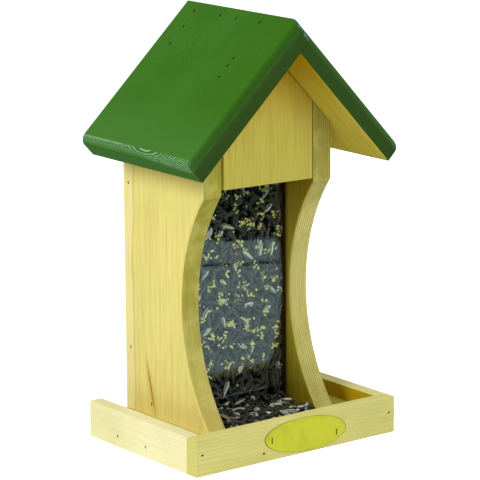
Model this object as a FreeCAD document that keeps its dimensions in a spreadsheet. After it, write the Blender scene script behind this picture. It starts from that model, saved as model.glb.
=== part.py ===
import FreeCAD, Part
import math
import os
from types import SimpleNamespace

import Sketcher
from FreeCAD import Placement, Rotation, Vector

# Wall bird feeder nailed together from planed pine: an open-backed tray, a seed hopper with curved
# cheeks and a clear pane, and a gabled roof that lifts off for filling.
# X runs to the right, the back is towards +Y, and Z is up from the underside of the tray.

# Driving dimensions in millimetres and degrees.
SIZES = {
    # Tray
    "tray_width": 200,
    "tray_depth": 144,
    "rail_thickness": 12,
    "rail_height": 30,
    "floor_thickness": 18,
    # Hopper: heights are above the tray floor, depths forward from the back.
    "hopper_width": 127,
    "hopper_rise": 301,
    "side_thickness": 18,
    "side_top_depth": 107,
    "cut_depth": 30.4,
    "foot_reach": 6.9,
    "waist_rise": 99,
    "back_thickness": 12,
    "ramp_rise": 40,
    "ramp_thickness": 10,
    "ramp_pitch": 45,
    "board_arris": 0.8,
    "curve_round": 2,
    # Pane in its two kerfs
    "pane_thickness": 3,
    "pane_height": 188,
    "pane_inset": 5.4,
    "pane_rise": 15.8,
    "pane_play": 0.4,
    "kerf_depth": 5,
    # Roof
    "roof_depth": 145,
    "roof_slope_length": 129.3,
    "roof_thickness": 19,
    "roof_pitch": 45,
    "roof_lean": 1.8,
    "roof_round": 11,
    "eave_round": 7,
    "ridge_round": 1.5,
    "roof_arris": 0.8,
    "roof_seat_gap": 0.3,
    # Gable pieces that hang under the roof
    "gable_thickness": 12,
    "gable_rise": 193.5,
    "gable_slant": 1,
    "gable_left_gap": 2.2,
    "gable_right_gap": 0.6,
    "gable_top_gap": 0.8,
    "cleat_rise": 237,
    "cleat_side_gap": 1,
    "cleat_back_gap": 0.5,
    # Oval plate and its staples on the front rail
    "plate_length": 82,
    "plate_height": 27.6,
    "plate_thickness": 0.5,
    "plate_shift": 7.7,
    "plate_rise": 15.6,
    "plate_tilt": 2.5,
    "staple_crown": 4.8,
    "staple_width": 0.8,
    "staple_wire": 0.4,
    "staple_leg": 8,
    "staple_left_reach": 34,
    "staple_left_lift": 0.5,
    "staple_right_reach": 31.3,
    "staple_right_drop": 4,
    # Brads with T heads
    "brad_head_width": 2.4,
    "brad_head_depth": 1.3,
    "brad_head_length": 1.5,
    "brad_shank_width": 1.3,
    "brad_shank_depth": 1,
    "brad_sink": 0.8,
    "hole_play": 0.1,
    "ridge_nail_length": 45,
    "gable_nail_length": 32,
    "side_nail_length": 35,
    "rail_nail_length": 30,
    # Ridge nails, measured from the front of the roof
    "ridge_nail_first": 43,
    "ridge_nail_second": 73,
    "ridge_nail_third": 94,
    "ridge_nail_fourth": 128,
    # Gable and cleat nails, measured down the slope from the ridge
    "gable_nail_inset": 4,
    "gable_nail_upper": 46,
    "gable_nail_middle": 53.5,
    "gable_nail_lower": 65,
    "cleat_nail_upper": 26,
    "cleat_nail_lower": 44,
    "cleat_nail_stagger": 18,
    # Nails through the cheeks and the rails
    "side_nail_inset": 7,
    "side_nail_low": 52,
    "side_nail_high": 187.6,
    "ramp_nail_rise": 10,
    "rail_nail_rear": 39,
    "rail_nail_front": 77,
    "corner_nail_rise": 17,
    "front_nail_reach": 34,
    "front_nail_rise": 7,
    # Screws up through the tray floor
    "screw_shank_radius": 2,
    "screw_head_radius": 3.8,
    "screw_head_height": 2.2,
    "screw_length": 40,
    "screw_slot_width": 1,
    "side_screw_rear": 22,
    "side_screw_front": 72,
    "back_screw_reach": 25,
    # Keyhole hanger let into the back board
    "hanger_reach": 17,
    "hanger_radius": 8,
    "hanger_thickness": 1.5,
    "hanger_rise": 213,
    "hanger_play": 0.2,
    "keyhole_radius": 4.5,
    "keyhole_slot_width": 4.6,
    "keyhole_drop": 5,
    "keyhole_lift": 5,
    "keyhole_pocket_depth": 5,
    "keyhole_pocket_margin": 1.2,
    "hanger_screw_shank_radius": 1.4,
    "hanger_screw_head_radius": 2.7,
    "hanger_screw_head_height": 1.4,
    "hanger_screw_length": 10,
    # Seed in the hopper and spilled in the tray
    "seed_gap": 0.4,
    "seed_fill_rise": 194,
    "seed_heap_rear": 12,
    "seed_heap_front": 7,
}

LEFT, RIGHT = -1, 1
UP = Vector(0, 0, 1)
# Axes about which a fastener made along +Z is turned to point that way.
TO_RIGHT = Vector(0, 1, 0)
TO_LEFT = Vector(0, -1, 0)
TO_BACK = Vector(-1, 0, 0)
TO_FRONT = Vector(1, 0, 0)
INWARD = {LEFT: TO_RIGHT, RIGHT: TO_LEFT}
# How far a cutting solid stands proud of the face it cuts.
PROUD = 2

doc = FreeCAD.newDocument("WallBirdFeeder")
sheet = doc.addObject("Spreadsheet::Sheet", "sizes")
for row, (alias, number) in enumerate(SIZES.items(), 1):
    sheet.set(f"A{row}", alias)
    sheet.set(f"B{row}", str(number))
    sheet.setAlias(f"B{row}", alias)
doc.recompute()


class Size:
    # A number together with the formula that works it out from the sheet.
    def __init__(self, value, formula):
        self.value = value
        self.formula = formula

    def __add__(self, other):
        other = size_of(other)
        return Size(self.value + other.value, f"({self.formula} + {other.formula})")

    def __sub__(self, other):
        other = size_of(other)
        return Size(self.value - other.value, f"({self.formula} - {other.formula})")

    def __mul__(self, other):
        other = size_of(other)
        return Size(self.value * other.value, f"({self.formula} * {other.formula})")

    def __truediv__(self, other):
        other = size_of(other)
        return Size(self.value / other.value, f"({self.formula} / {other.formula})")

    def __neg__(self):
        return Size(-self.value, f"(0 - {self.formula})")


def size_of(value):
    if isinstance(value, Size):
        return value
    return Size(value, f"({value})")


def sine(angle):
    return Size(math.sin(math.radians(angle.value)), f"sin({angle.formula})")


def cosine(angle):
    return Size(math.cos(math.radians(angle.value)), f"cos({angle.formula})")


dims = SimpleNamespace(**{name: Size(number, f"sizes.{name}") for name, number in SIZES.items()})

# Tray
back = dims.roof_depth / 2
tray_half = dims.tray_width / 2
tray_front = back - dims.tray_depth
tray_inner_half = tray_half - dims.rail_thickness
tray_inner_front = tray_front + dims.rail_thickness
floor_top = dims.floor_thickness

# Hopper cheeks: the curved front is an arc through the foot whose deepest point is the waist.
hopper_half = dims.hopper_width / 2
hopper_inner = hopper_half - dims.side_thickness
side_front = back - dims.side_top_depth
waist_front = side_front + dims.cut_depth
waist_height = floor_top + dims.waist_rise
arc_depth = dims.cut_depth + dims.foot_reach
arc_radius = (dims.waist_rise * dims.waist_rise + arc_depth * arc_depth) / (arc_depth * 2)
arc_middle = waist_front - arc_radius
back_front = back - dims.back_thickness

# Roof: the left board runs over the upper end of the right one.
slope_sine = sine(dims.roof_pitch)
slope_cosine = cosine(dims.roof_pitch)
slope_tangent = slope_sine / slope_cosine
apex = floor_top + dims.hopper_rise
ridge = apex + dims.roof_thickness / slope_cosine
overlap = dims.roof_thickness / (slope_sine * slope_cosine * 2)
overlap_point = (overlap * slope_cosine, apex + overlap * slope_sine)
eave_x = dims.roof_slope_length * slope_cosine
eave_z = apex - dims.roof_slope_length * slope_sine
eave_out = eave_x + dims.roof_thickness * slope_sine
eave_level = eave_z + dims.roof_thickness * slope_cosine
roof_front = -back
# The whole roof leans to the right about the level of its eaves.
lean_sine = sine(dims.roof_lean)
lean_cosine = cosine(dims.roof_lean)
HALF_TURN = 180
DRIVE_ANGLES = {
    LEFT: size_of(HALF_TURN) - dims.roof_pitch + dims.roof_lean,
    RIGHT: size_of(HALF_TURN) - dims.roof_pitch - dims.roof_lean,
}

# Pane and kerfs
pane_front = waist_front + dims.pane_inset
pane_back = pane_front + dims.pane_thickness
pane_bottom = floor_top + dims.pane_rise
kerf_half = hopper_inner + dims.kerf_depth


def place(obj, x, y, z):
    for axis, size in zip("xyz", (x, y, z)):
        obj.setExpression(f"Placement.Base.{axis}", size_of(size).formula)


def turn(obj, axis, angle):
    angle = size_of(angle)
    obj.Placement = Placement(Vector(), Rotation(axis, angle.value))
    obj.setExpression("Placement.Rotation.Angle", angle.formula)


def lean(body):
    # Turns a body drawn about an upright roof into the leaning roof.
    turn(body, TO_RIGHT, dims.roof_lean)
    place(body, -eave_level * lean_sine, roof_front, eave_level - eave_level * lean_cosine)


def pin(sketch, geometry, point, across=None, up=None):
    # Holds a point of a sketch at its distances from the sketch's origin.
    for kind, size in (("DistanceX", across), ("DistanceY", up)):
        if size is not None:
            size = size_of(size)
            rule = Sketcher.Constraint(kind, -1, 1, geometry, point, size.value)
            sketch.setExpression(f"Constraints[{sketch.addConstraint(rule)}]", size.formula)


def new_sketch(body, plane):
    sketch = body.newObject("Sketcher::SketchObject", body.Name + "_outline")
    support = next(item for item in body.Origin.OriginFeatures if item.Role == plane)
    sketch.AttachmentSupport = [(support, "")]
    sketch.MapMode = "FlatFace"
    return sketch


def draw_polygon(body, plane, corners):
    sketch = new_sketch(body, plane)
    corners = [(size_of(across), size_of(up)) for across, up in corners]
    points = [Vector(across.value, up.value, 0) for across, up in corners]
    count = len(points)
    for index, point in enumerate(points):
        sketch.addGeometry(Part.LineSegment(point, points[(index + 1) % count]))
    for index, (across, up) in enumerate(corners):
        sketch.addConstraint(Sketcher.Constraint("Coincident", index, 2, (index + 1) % count, 1))
        pin(sketch, index, 1, across, up)
    return sketch


def pad(body, sketch, plane, start, thickness):
    # Thickens a sketch along its plane's third axis, towards the positive side.
    feature = body.newObject("PartDesign::Pad", body.Name + "_pad")
    feature.Profile = sketch
    feature.Reversed = plane == "XZ_Plane"
    feature.setExpression("Length", size_of(thickness).formula)
    axis = {"YZ_Plane": "x", "XZ_Plane": "y", "XY_Plane": "z"}[plane]
    body.setExpression(f"Placement.Base.{axis}", size_of(start).formula)
    return feature


def ease(body, feature, radius, names=None):
    # Rounds the named edges of a body's last feature, or all of them.
    fillet = body.newObject("PartDesign::Fillet", body.Name + "_round")
    fillet.Base = (feature, names or ["Edge1"])
    fillet.UseAllEdges = names is None
    fillet.setExpression("Radius", radius.formula)
    return fillet


def board(name, plane, corners, start, thickness, arris=None):
    # A board sawn to a straight-sided outline, with its arrises eased.
    body = doc.addObject("PartDesign::Body", name)
    feature = pad(body, draw_polygon(body, plane, corners), plane, start, thickness)
    if arris is not None:
        ease(body, feature, arris)
    return body


def plank(name, low, high):
    # A rectangular board between two opposite corners.
    corners = [(low[0], low[1]), (high[0], low[1]), (high[0], high[1]), (low[0], high[1])]
    return board(name, "XY_Plane", corners, low[2], size_of(high[2]) - low[2], dims.board_arris)


def block(name, low, high):
    # A cuboid with sharp edges between two opposite corners.
    obj = doc.addObject("Part::Box", name)
    for prop, start, end in zip(("Length", "Width", "Height"), low, high):
        obj.setExpression(prop, (size_of(end) - start).formula)
    place(obj, *low)
    return obj


def rod(name, radius, start, end):
    # A cylinder about the local Z axis.
    obj = doc.addObject("Part::Cylinder", name)
    obj.setExpression("Radius", radius.formula)
    obj.setExpression("Height", (size_of(end) - start).formula)
    place(obj, 0, 0, start)
    return obj


def fused(name, pieces):
    obj = doc.addObject("Part::MultiFuse", name)
    obj.Shapes = pieces
    return obj


def cut(name, blank, tools):
    obj = doc.addObject("Part::Cut", name)
    obj.Base = blank
    obj.Tool = tools[0] if len(tools) == 1 else fused(name + "_cuts", tools)
    return obj


def group(name, pieces):
    obj = doc.addObject("Part::Compound", name)
    obj.Links = pieces
    return obj


def drive(obj, spot, axis, angle):
    # Puts a fastener made along local Z at its spot, pointing the way that it is driven.
    turn(obj, axis, angle)
    place(obj, *spot)


def bar(name, width, depth, start, end):
    # A cuboid centred on the local Z axis.
    return block(name, (-width / 2, -depth / 2, start), (width / 2, depth / 2, end))


def brad(name, spot, axis, angle, length):
    # A T-headed brad sunk below the surface, and the hole that it leaves.
    head_end = dims.brad_sink + dims.brad_head_length
    play = dims.hole_play * 2
    nail = fused(name, [
        bar(name + "_head", dims.brad_head_width, dims.brad_head_depth, dims.brad_sink, head_end),
        bar(name + "_shank", dims.brad_shank_width, dims.brad_shank_depth, head_end, length),
    ])
    hole = fused(name + "_hole", [
        bar(name + "_pit", dims.brad_head_width + play, dims.brad_head_depth + play, -PROUD, head_end),
        bar(name + "_bore", dims.brad_shank_width + play, dims.brad_shank_depth + play,
            head_end, length + dims.hole_play),
    ])
    drive(nail, spot, axis, angle)
    drive(hole, spot, axis, angle)
    return nail, hole


def taper(name, wide, narrow, end):
    obj = doc.addObject("Part::Cone", name)
    obj.setExpression("Radius1", wide.formula)
    obj.setExpression("Radius2", narrow.formula)
    obj.setExpression("Height", end.formula)
    return obj


def screw(name, spot, axis, angle, shank, head, head_height, length):
    # A countersunk screw with a cross slot, flush with the surface, and its hole.
    play = dims.hole_play
    slot_reach = shank * 2
    stem = fused(name + "_stem", [
        taper(name + "_head", head, shank, head_height),
        rod(name + "_shank", shank, head_height, length),
    ])
    cross = fused(name + "_cross", [
        bar(name + "_slot_a", slot_reach, dims.screw_slot_width, -PROUD, head_height / 2),
        bar(name + "_slot_b", dims.screw_slot_width, slot_reach, -PROUD, head_height / 2),
    ])
    hole = fused(name + "_hole", [
        taper(name + "_sink", head + play, shank + play, head_height),
        rod(name + "_bore", shank + play, head_height, length + play),
    ])
    fastener = cut(name, stem, [cross])
    drive(fastener, spot, axis, angle)
    drive(hole, spot, axis, angle)
    return fastener, hole


def leaning(across, up, y):
    # Where a point that is drawn about the upright roof lies on the leaning one.
    rise = up - eave_level
    return (across * lean_cosine + rise * lean_sine, y, eave_level + rise * lean_cosine - across * lean_sine)


def roof_spot(hand, distance, y):
    # A point on the top of a leaning roof board, a distance down the slope from the ridge.
    return leaning(distance * slope_cosine * hand, ridge - distance * slope_sine, y)


def above_roof(name, hand, gap):
    # What lies above the underside of one roof board, or closer to it than a gap: the saw cut there.
    start = apex - gap / slope_cosine
    end = start - eave_x * slope_tangent
    # The lean brings the far corner down, so it starts that much higher.
    top = apex + eave_x * lean_sine + PROUD
    prism = board(name, "XZ_Plane", [
        (0, start), (eave_x * hand, end), (eave_x * hand, top), (0, top),
    ], roof_front, dims.roof_depth + PROUD)
    lean(prism)
    return prism


def eave_waste(name, hand):
    # What a plane takes off along an eave to round over its upper edge, from end to end.
    def beyond(out, up):
        # A point past the eave's upper corner, measured down the slope and up from its surface.
        out, up = size_of(out), size_of(up)
        return ((eave_out + out * slope_cosine + up * slope_sine) * hand,
                eave_level - out * slope_sine + up * slope_cosine)

    inside = -dims.eave_round
    start = roof_front - PROUD
    strip = board(name + "_strip", "XZ_Plane", [
        beyond(PROUD, PROUD), beyond(PROUD, inside), beyond(inside, inside), beyond(inside, PROUD),
    ], start, dims.roof_depth + PROUD * 2)
    lean(strip)
    strip.setExpression("Placement.Base.y", start.formula)
    kept = rod(name + "_kept", dims.eave_round, 0, dims.roof_depth + PROUD * 2)
    drive(kept, leaning(*beyond(inside, inside), start), TO_BACK, 90)
    return cut(name, strip, [kept])


def make_pairs(maker, name, spots):
    # The fasteners at a list of spots, with their holes.
    pairs = [maker(f"{name}_{index}", *spot) for index, spot in enumerate(spots, 1)]
    return [pair[0] for pair in pairs], [pair[1] for pair in pairs]


nodes = {}

# Nails through the rails into the floor and into the ends of the side rails.
rail_spots = {
    hand: [(tray_half * hand, back - distance, dims.floor_thickness / 2)
           for distance in (dims.rail_nail_rear, dims.rail_nail_front)]
    for hand in (LEFT, RIGHT)
}
rail_holes = {}
floor_nails = []
for hand, side in ((LEFT, "left"), (RIGHT, "right")):
    spots = [(spot, INWARD[hand], 90, dims.rail_nail_length) for spot in rail_spots[hand]]
    nails, rail_holes[hand] = make_pairs(brad, f"{side}_rail_nail", spots)
    floor_nails += nails
corner_nails = []
corner_holes = {}
front_holes = []
for hand, side in ((LEFT, "left"), (RIGHT, "right")):
    corner_spot = ((tray_half - dims.rail_thickness / 2) * hand, tray_front, dims.corner_nail_rise)
    nail, corner_holes[hand] = brad(f"{side}_corner_nail", corner_spot, TO_BACK, 90, dims.rail_nail_length)
    corner_nails.append(nail)
    front_spot = (dims.front_nail_reach * hand, tray_front, dims.front_nail_rise)
    nail, hole = brad(f"{side}_front_nail", front_spot, TO_BACK, 90, dims.rail_nail_length)
    floor_nails.append(nail)
    front_holes.append(hole)
nodes["tray_corner_nails"] = group("tray_corner_nails", corner_nails)
nodes["tray_floor_nails"] = group("tray_floor_nails", floor_nails)

# Screws up through the floor into the cheeks and the back board.
side_middle = hopper_half - dims.side_thickness / 2
side_screw_holes = {}
floor_screws = []
floor_screw_sizes = (dims.screw_shank_radius, dims.screw_head_radius,
                     dims.screw_head_height, dims.screw_length)
for hand, side in ((LEFT, "left"), (RIGHT, "right")):
    spots = [((side_middle * hand, back - distance, 0), UP, 0, *floor_screw_sizes)
             for distance in (dims.side_screw_rear, dims.side_screw_front)]
    screws, side_screw_holes[hand] = make_pairs(screw, f"{side}_floor_screw", spots)
    floor_screws += screws
back_middle = back - dims.back_thickness / 2
spots = [((dims.back_screw_reach * hand, back_middle, 0), UP, 0, *floor_screw_sizes)
         for hand in (LEFT, RIGHT)]
screws, back_screw_holes = make_pairs(screw, "back_floor_screw", spots)
nodes["floor_screws"] = group("floor_screws", floor_screws + screws)

# Nails through the cheeks into the back board and the seed ramp.
ramp_sine = sine(dims.ramp_pitch)
ramp_cosine = cosine(dims.ramp_pitch)
ramp_cotangent = ramp_cosine / ramp_sine
ramp_foot = back_front - dims.ramp_rise * ramp_cotangent
ramp_nail_y = ramp_foot + dims.ramp_thickness / ramp_sine / 2 + dims.ramp_nail_rise * ramp_cotangent
side_holes = {}
ramp_holes = {}
back_nails = []
ramp_nails = []
for hand, side in ((LEFT, "left"), (RIGHT, "right")):
    spots = [((hopper_half * hand, back - dims.side_nail_inset, floor_top + rise),
              INWARD[hand], 90, dims.side_nail_length)
             for rise in (dims.side_nail_low, dims.side_nail_high)]
    nails, side_holes[hand] = make_pairs(brad, f"{side}_back_nail", spots)
    back_nails += nails
    ramp_spot = (hopper_half * hand, ramp_nail_y, floor_top + dims.ramp_nail_rise)
    nail, ramp_holes[hand] = brad(f"{side}_ramp_nail", ramp_spot, INWARD[hand], 90,
                                  dims.side_nail_length)
    ramp_nails.append(nail)
nodes["back_board_nails"] = group("back_board_nails", back_nails)
nodes["ramp_nails"] = group("ramp_nails", ramp_nails)

# Tray floor and rails
floor_blank = plank("floor_blank", (-tray_inner_half, tray_inner_front, 0),
                    (tray_inner_half, back, floor_top))
floor_cuts = rail_holes[LEFT] + rail_holes[RIGHT] + front_holes
floor_cuts += side_screw_holes[LEFT] + side_screw_holes[RIGHT] + back_screw_holes
nodes["tray_floor"] = cut("tray_floor", floor_blank, floor_cuts)
for hand, side in ((LEFT, "left"), (RIGHT, "right")):
    ends = sorted((tray_inner_half * hand, tray_half * hand), key=lambda size: size.value)
    rail_blank = plank(f"{side}_rail_blank", (ends[0], tray_inner_front, 0),
                       (ends[1], back, dims.rail_height))
    nodes[f"{side}_rail"] = cut(f"{side}_rail", rail_blank, rail_holes[hand] + [corner_holes[hand]])

# Oval plate, tilted a little, held on the front rail by two staples
staple_spots = [
    (dims.plate_shift - dims.staple_left_reach, dims.plate_rise + dims.staple_left_lift),
    (dims.plate_shift + dims.staple_right_reach, dims.plate_rise - dims.staple_right_drop),
]


def staple(name, spot, play):
    # A wire staple with an upright crown that lies on the plate; its local Z points into the rail.
    crown_half = dims.staple_crown / 2
    wire = dims.staple_wire
    half_width = dims.staple_width / 2 + play
    top = -dims.plate_thickness - wire
    pieces = [block(name + "_crown", (-half_width, -crown_half, top),
                    (half_width, crown_half, -dims.plate_thickness))]
    for hand in (LEFT, RIGHT):
        outer = (crown_half + play) * hand
        inner = (crown_half - wire - play) * hand
        low, high = sorted((outer, inner), key=lambda size: size.value)
        pieces.append(block(f"{name}_leg_{hand + 2}", (-half_width, low, top),
                            (half_width, high, dims.staple_leg + play)))
    obj = fused(name, pieces)
    drive(obj, (spot[0], tray_front, spot[1]), TO_BACK, 90)
    return obj


nodes["plate_staples"] = group("plate_staples", [
    staple(f"staple_{index}", spot, size_of(0)) for index, spot in enumerate(staple_spots, 1)])
staple_holes = [staple(f"staple_hole_{index}", spot, dims.hole_play)
                for index, spot in enumerate(staple_spots, 1)]

plate_body = doc.addObject("PartDesign::Body", "plate_blank")
plate_sketch = new_sketch(plate_body, "XZ_Plane")
plate_half = Vector(dims.plate_length.value / 2, 0, 0)
plate_rise_half = Vector(0, dims.plate_height.value / 2, 0)
plate_sketch.addGeometry(Part.Ellipse(plate_half, plate_rise_half, Vector()))
plate_sketch.exposeInternalGeometry(0)
plate_sketch.addConstraint(Sketcher.Constraint("Coincident", 0, 3, -1, 1))
plate_sketch.addConstraint(Sketcher.Constraint("Horizontal", 1))
for line, size in ((1, dims.plate_length), (2, dims.plate_height)):
    rule = plate_sketch.addConstraint(Sketcher.Constraint("Distance", line, size.value))
    plate_sketch.setExpression(f"Constraints[{rule}]", size.formula)
pad(plate_body, plate_sketch, "XZ_Plane", 0, dims.plate_thickness)
turn(plate_body, TO_RIGHT, dims.plate_tilt)
place(plate_body, dims.plate_shift, tray_front - dims.plate_thickness, dims.plate_rise)
nodes["name_plate"] = cut("name_plate", plate_body, staple_holes)

front_blank = plank("front_rail_blank", (-tray_half, tray_front, 0),
                    (tray_half, tray_inner_front, dims.rail_height))
front_cuts = front_holes + list(corner_holes.values()) + staple_holes
nodes["front_rail"] = cut("front_rail", front_blank, front_cuts)

def edge_names(shape, test):
    return [f"Edge{index}" for index, edge in enumerate(shape.Edges, 1) if test(edge.CenterOfMass)]


def is_upright_arris(point):
    # In a cheek's own frame: its straight front and rear edges, but not those across its thickness.
    on_face = min(abs(point.x), abs(point.x - dims.side_thickness.value)) < 0.01
    straight = min(abs(point.y - side_front.value), abs(point.y - back.value)) < 0.01
    return on_face and straight


# Hopper cheeks: curved front, kerf for the pane, top bevelled to the roof
seat_cuts = {hand: above_roof(f"{side}_seat", hand, dims.roof_seat_gap)
             for hand, side in ((LEFT, "left"), (RIGHT, "right"))}
for hand, side in ((LEFT, "left"), (RIGHT, "right")):
    body = doc.addObject("PartDesign::Body", f"{side}_side_blank")
    sketch = new_sketch(body, "YZ_Plane")
    low_angle = -math.asin(dims.waist_rise.value / arc_radius.value)
    high_angle = math.acos((side_front - arc_middle).value / arc_radius.value)
    circle = Part.Circle(Vector(arc_middle.value, waist_height.value, 0), UP, arc_radius.value)
    curve = Part.ArcOfCircle(circle, low_angle, high_angle)
    foot = curve.StartPoint
    shoulder = curve.EndPoint
    top_front = Vector(side_front.value, apex.value, 0)
    top_back = Vector(back.value, apex.value, 0)
    heel = Vector(back.value, floor_top.value, 0)
    sketch.addGeometry(curve)
    for start, end in ((shoulder, top_front), (top_front, top_back), (top_back, heel), (heel, foot)):
        sketch.addGeometry(Part.LineSegment(start, end))
    for first, second in ((0, 1), (1, 2), (2, 3), (3, 4)):
        sketch.addConstraint(Sketcher.Constraint("Coincident", first, 2, second, 1))
    sketch.addConstraint(Sketcher.Constraint("Coincident", 4, 2, 0, 1))
    rule = sketch.addConstraint(Sketcher.Constraint("Radius", 0, arc_radius.value))
    sketch.setExpression(f"Constraints[{rule}]", arc_radius.formula)
    pin(sketch, 0, 3, arc_middle, waist_height)
    pin(sketch, 0, 1, up=floor_top)
    pin(sketch, 0, 2, across=side_front)
    pin(sketch, 1, 2, side_front, apex)
    pin(sketch, 2, 2, back, apex)
    pin(sketch, 3, 2, back, floor_top)
    faces = sorted((hopper_inner * hand, hopper_half * hand), key=lambda size: size.value)
    feature = pad(body, sketch, "YZ_Plane", faces[0], dims.side_thickness)
    doc.recompute()
    # The sawn curve is sanded rounder than the straight arrises.
    curved = [f"Edge{index}" for index, edge in enumerate(feature.Shape.Edges, 1)
              if isinstance(edge.Curve, Part.Circle)]
    feature = ease(body, feature, dims.curve_round, curved)
    doc.recompute()
    ease(body, feature, dims.board_arris, edge_names(feature.Shape, is_upright_arris))
    kerf_ends = sorted((kerf_half * hand, (hopper_inner - PROUD) * hand), key=lambda size: size.value)
    kerf = block(f"{side}_kerf", (kerf_ends[0], pane_front - dims.pane_play / 2, pane_bottom),
                 (kerf_ends[1], pane_back + dims.pane_play / 2, apex))
    cuts = [seat_cuts[hand], kerf] + side_holes[hand] + [ramp_holes[hand]] + side_screw_holes[hand]
    nodes[f"{side}_side"] = cut(f"{side}_side", body, cuts)

# Keyhole hanger let flush into the back board, upright, made along local Y
hanger_spot = (0, back, floor_top + dims.hanger_rise)


def stadium(name, play, start, end):
    # A strip with round ends.
    radius = dims.hanger_radius + play
    reach = dims.hanger_reach
    pieces = [block(name + "_strip", (-radius, -reach, start), (radius, reach, end))]
    for hand in (LEFT, RIGHT):
        tip = rod(f"{name}_tip_{hand + 2}", radius, start, end)
        place(tip, 0, reach * hand, start)
        pieces.append(tip)
    return fused(name, pieces)


hanger_screw_sizes = (dims.hanger_screw_shank_radius, dims.hanger_screw_head_radius,
                      dims.hanger_screw_head_height, dims.hanger_screw_length)
spots = [((0, back, hanger_spot[2] + dims.hanger_reach * hand), TO_FRONT, 90, *hanger_screw_sizes)
         for hand in (LEFT, RIGHT)]
hanger_screws, hanger_holes = make_pairs(screw, "hanger_screw", spots)
nodes["hanger_screws"] = group("hanger_screws", hanger_screws)

slot_half = dims.keyhole_slot_width / 2
keyhole_end = dims.hanger_thickness + PROUD
entry = rod("keyhole_entry", dims.keyhole_radius, -PROUD, keyhole_end)
place(entry, 0, -dims.keyhole_drop, -PROUD)
slot = block("keyhole_slot", (-slot_half, -dims.keyhole_drop, -PROUD),
             (slot_half, dims.keyhole_lift, keyhole_end))
slot_end = rod("keyhole_slot_end", slot_half, -PROUD, keyhole_end)
place(slot_end, 0, dims.keyhole_lift, -PROUD)
hanger_blank = cut("hanger_blank", stadium("hanger_strip", size_of(0), 0, dims.hanger_thickness),
                   [entry, slot, slot_end])
drive(hanger_blank, hanger_spot, TO_FRONT, 90)
nodes["hanger_plate"] = cut("hanger_plate", hanger_blank, hanger_holes)

pocket_half = dims.keyhole_radius + dims.keyhole_pocket_margin
pocket_end = dims.hanger_thickness + dims.keyhole_pocket_depth
hanger_recess = fused("hanger_recess", [
    stadium("hanger_bed", dims.hanger_play, -PROUD, dims.hanger_thickness),
    block("keyhole_pocket", (-pocket_half, -dims.keyhole_drop - pocket_half, -PROUD),
          (pocket_half, dims.keyhole_lift + pocket_half, pocket_end)),
])
drive(hanger_recess, hanger_spot, TO_FRONT, 90)

# Back board between the cheeks, sawn to the gable at its top
back_blank = plank("back_board_blank", (-hopper_inner, back_front, floor_top), (hopper_inner, back, apex))
back_cuts = list(seat_cuts.values()) + side_holes[LEFT] + side_holes[RIGHT]
back_cuts += back_screw_holes + hanger_holes + [hanger_recess]
nodes["back_board"] = cut("back_board", back_blank, back_cuts)

# Sloping board that sends the seed forward under the pane
ramp_blank = board("seed_ramp_blank", "YZ_Plane", [
    (ramp_foot, floor_top),
    (ramp_foot + dims.ramp_thickness / ramp_sine, floor_top),
    (back_front, floor_top + dims.ramp_rise - dims.ramp_thickness / ramp_cosine),
    (back_front, floor_top + dims.ramp_rise),
], -hopper_inner, hopper_inner * 2, dims.board_arris)
nodes["seed_ramp"] = cut("seed_ramp", ramp_blank, list(ramp_holes.values()))

# Clear pane that stands on the ends of its kerfs
pane_half = kerf_half - dims.pane_play
nodes["window_pane"] = block("window_pane", (-pane_half, pane_front, pane_bottom),
                             (pane_half, pane_back, pane_bottom + dims.pane_height))

# Roof boards with the nails along the ridge
ridge_distances = (dims.ridge_nail_first, dims.ridge_nail_second,
                   dims.ridge_nail_third, dims.ridge_nail_fourth)
spots = [(roof_spot(LEFT, dims.roof_thickness / 2, roof_front + distance), TO_RIGHT, DRIVE_ANGLES[LEFT],
          dims.ridge_nail_length) for distance in ridge_distances]
ridge_nails, ridge_holes = make_pairs(brad, "ridge_nail", spots)
nodes["ridge_nails"] = group("ridge_nails", ridge_nails)


def gable_nails(name, y, distances):
    # Nails through each roof board, square to it, into a piece that hangs below.
    nails = []
    holes = {}
    for hand in (LEFT, RIGHT):
        spots = [(roof_spot(hand, distance, y), INWARD[hand], DRIVE_ANGLES[hand], dims.gable_nail_length)
                 for distance in distances[hand]]
        driven, holes[hand] = make_pairs(brad, f"{name}_{hand + 2}", spots)
        nails += driven
    nodes[f"{name}s"] = group(f"{name}s", nails)
    return holes


gable_distances = (dims.gable_nail_upper, dims.gable_nail_middle, dims.gable_nail_lower)
cleat_distances = (dims.cleat_nail_upper, dims.cleat_nail_lower)
cleat_front = back_front - dims.cleat_back_gap - dims.gable_thickness
gable_holes = gable_nails("front_gable_nail", side_front + dims.gable_nail_inset,
                          {LEFT: gable_distances, RIGHT: gable_distances})
cleat_holes = gable_nails("rear_cleat_nail", cleat_front + dims.gable_thickness / 2, {
    LEFT: cleat_distances,
    RIGHT: [distance + dims.cleat_nail_stagger for distance in cleat_distances],
})


def hanging_gable(name, start, ends, bottoms, top_gap, holes):
    # A board between the cheeks, sawn to the roof: tight on the left and a gap short on the right.
    blank = board(f"{name}_blank", "XZ_Plane", [
        (ends[0], bottoms[0]), (ends[1], bottoms[1]), (ends[1], apex), (ends[0], apex),
    ], start, dims.gable_thickness, dims.board_arris)
    saw_cuts = [
        above_roof(f"{name}_left_saw", LEFT, size_of(0)),
        above_roof(f"{name}_right_saw", RIGHT, top_gap),
    ]
    nodes[name] = cut(name, blank, saw_cuts + holes[LEFT] + holes[RIGHT])


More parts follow.
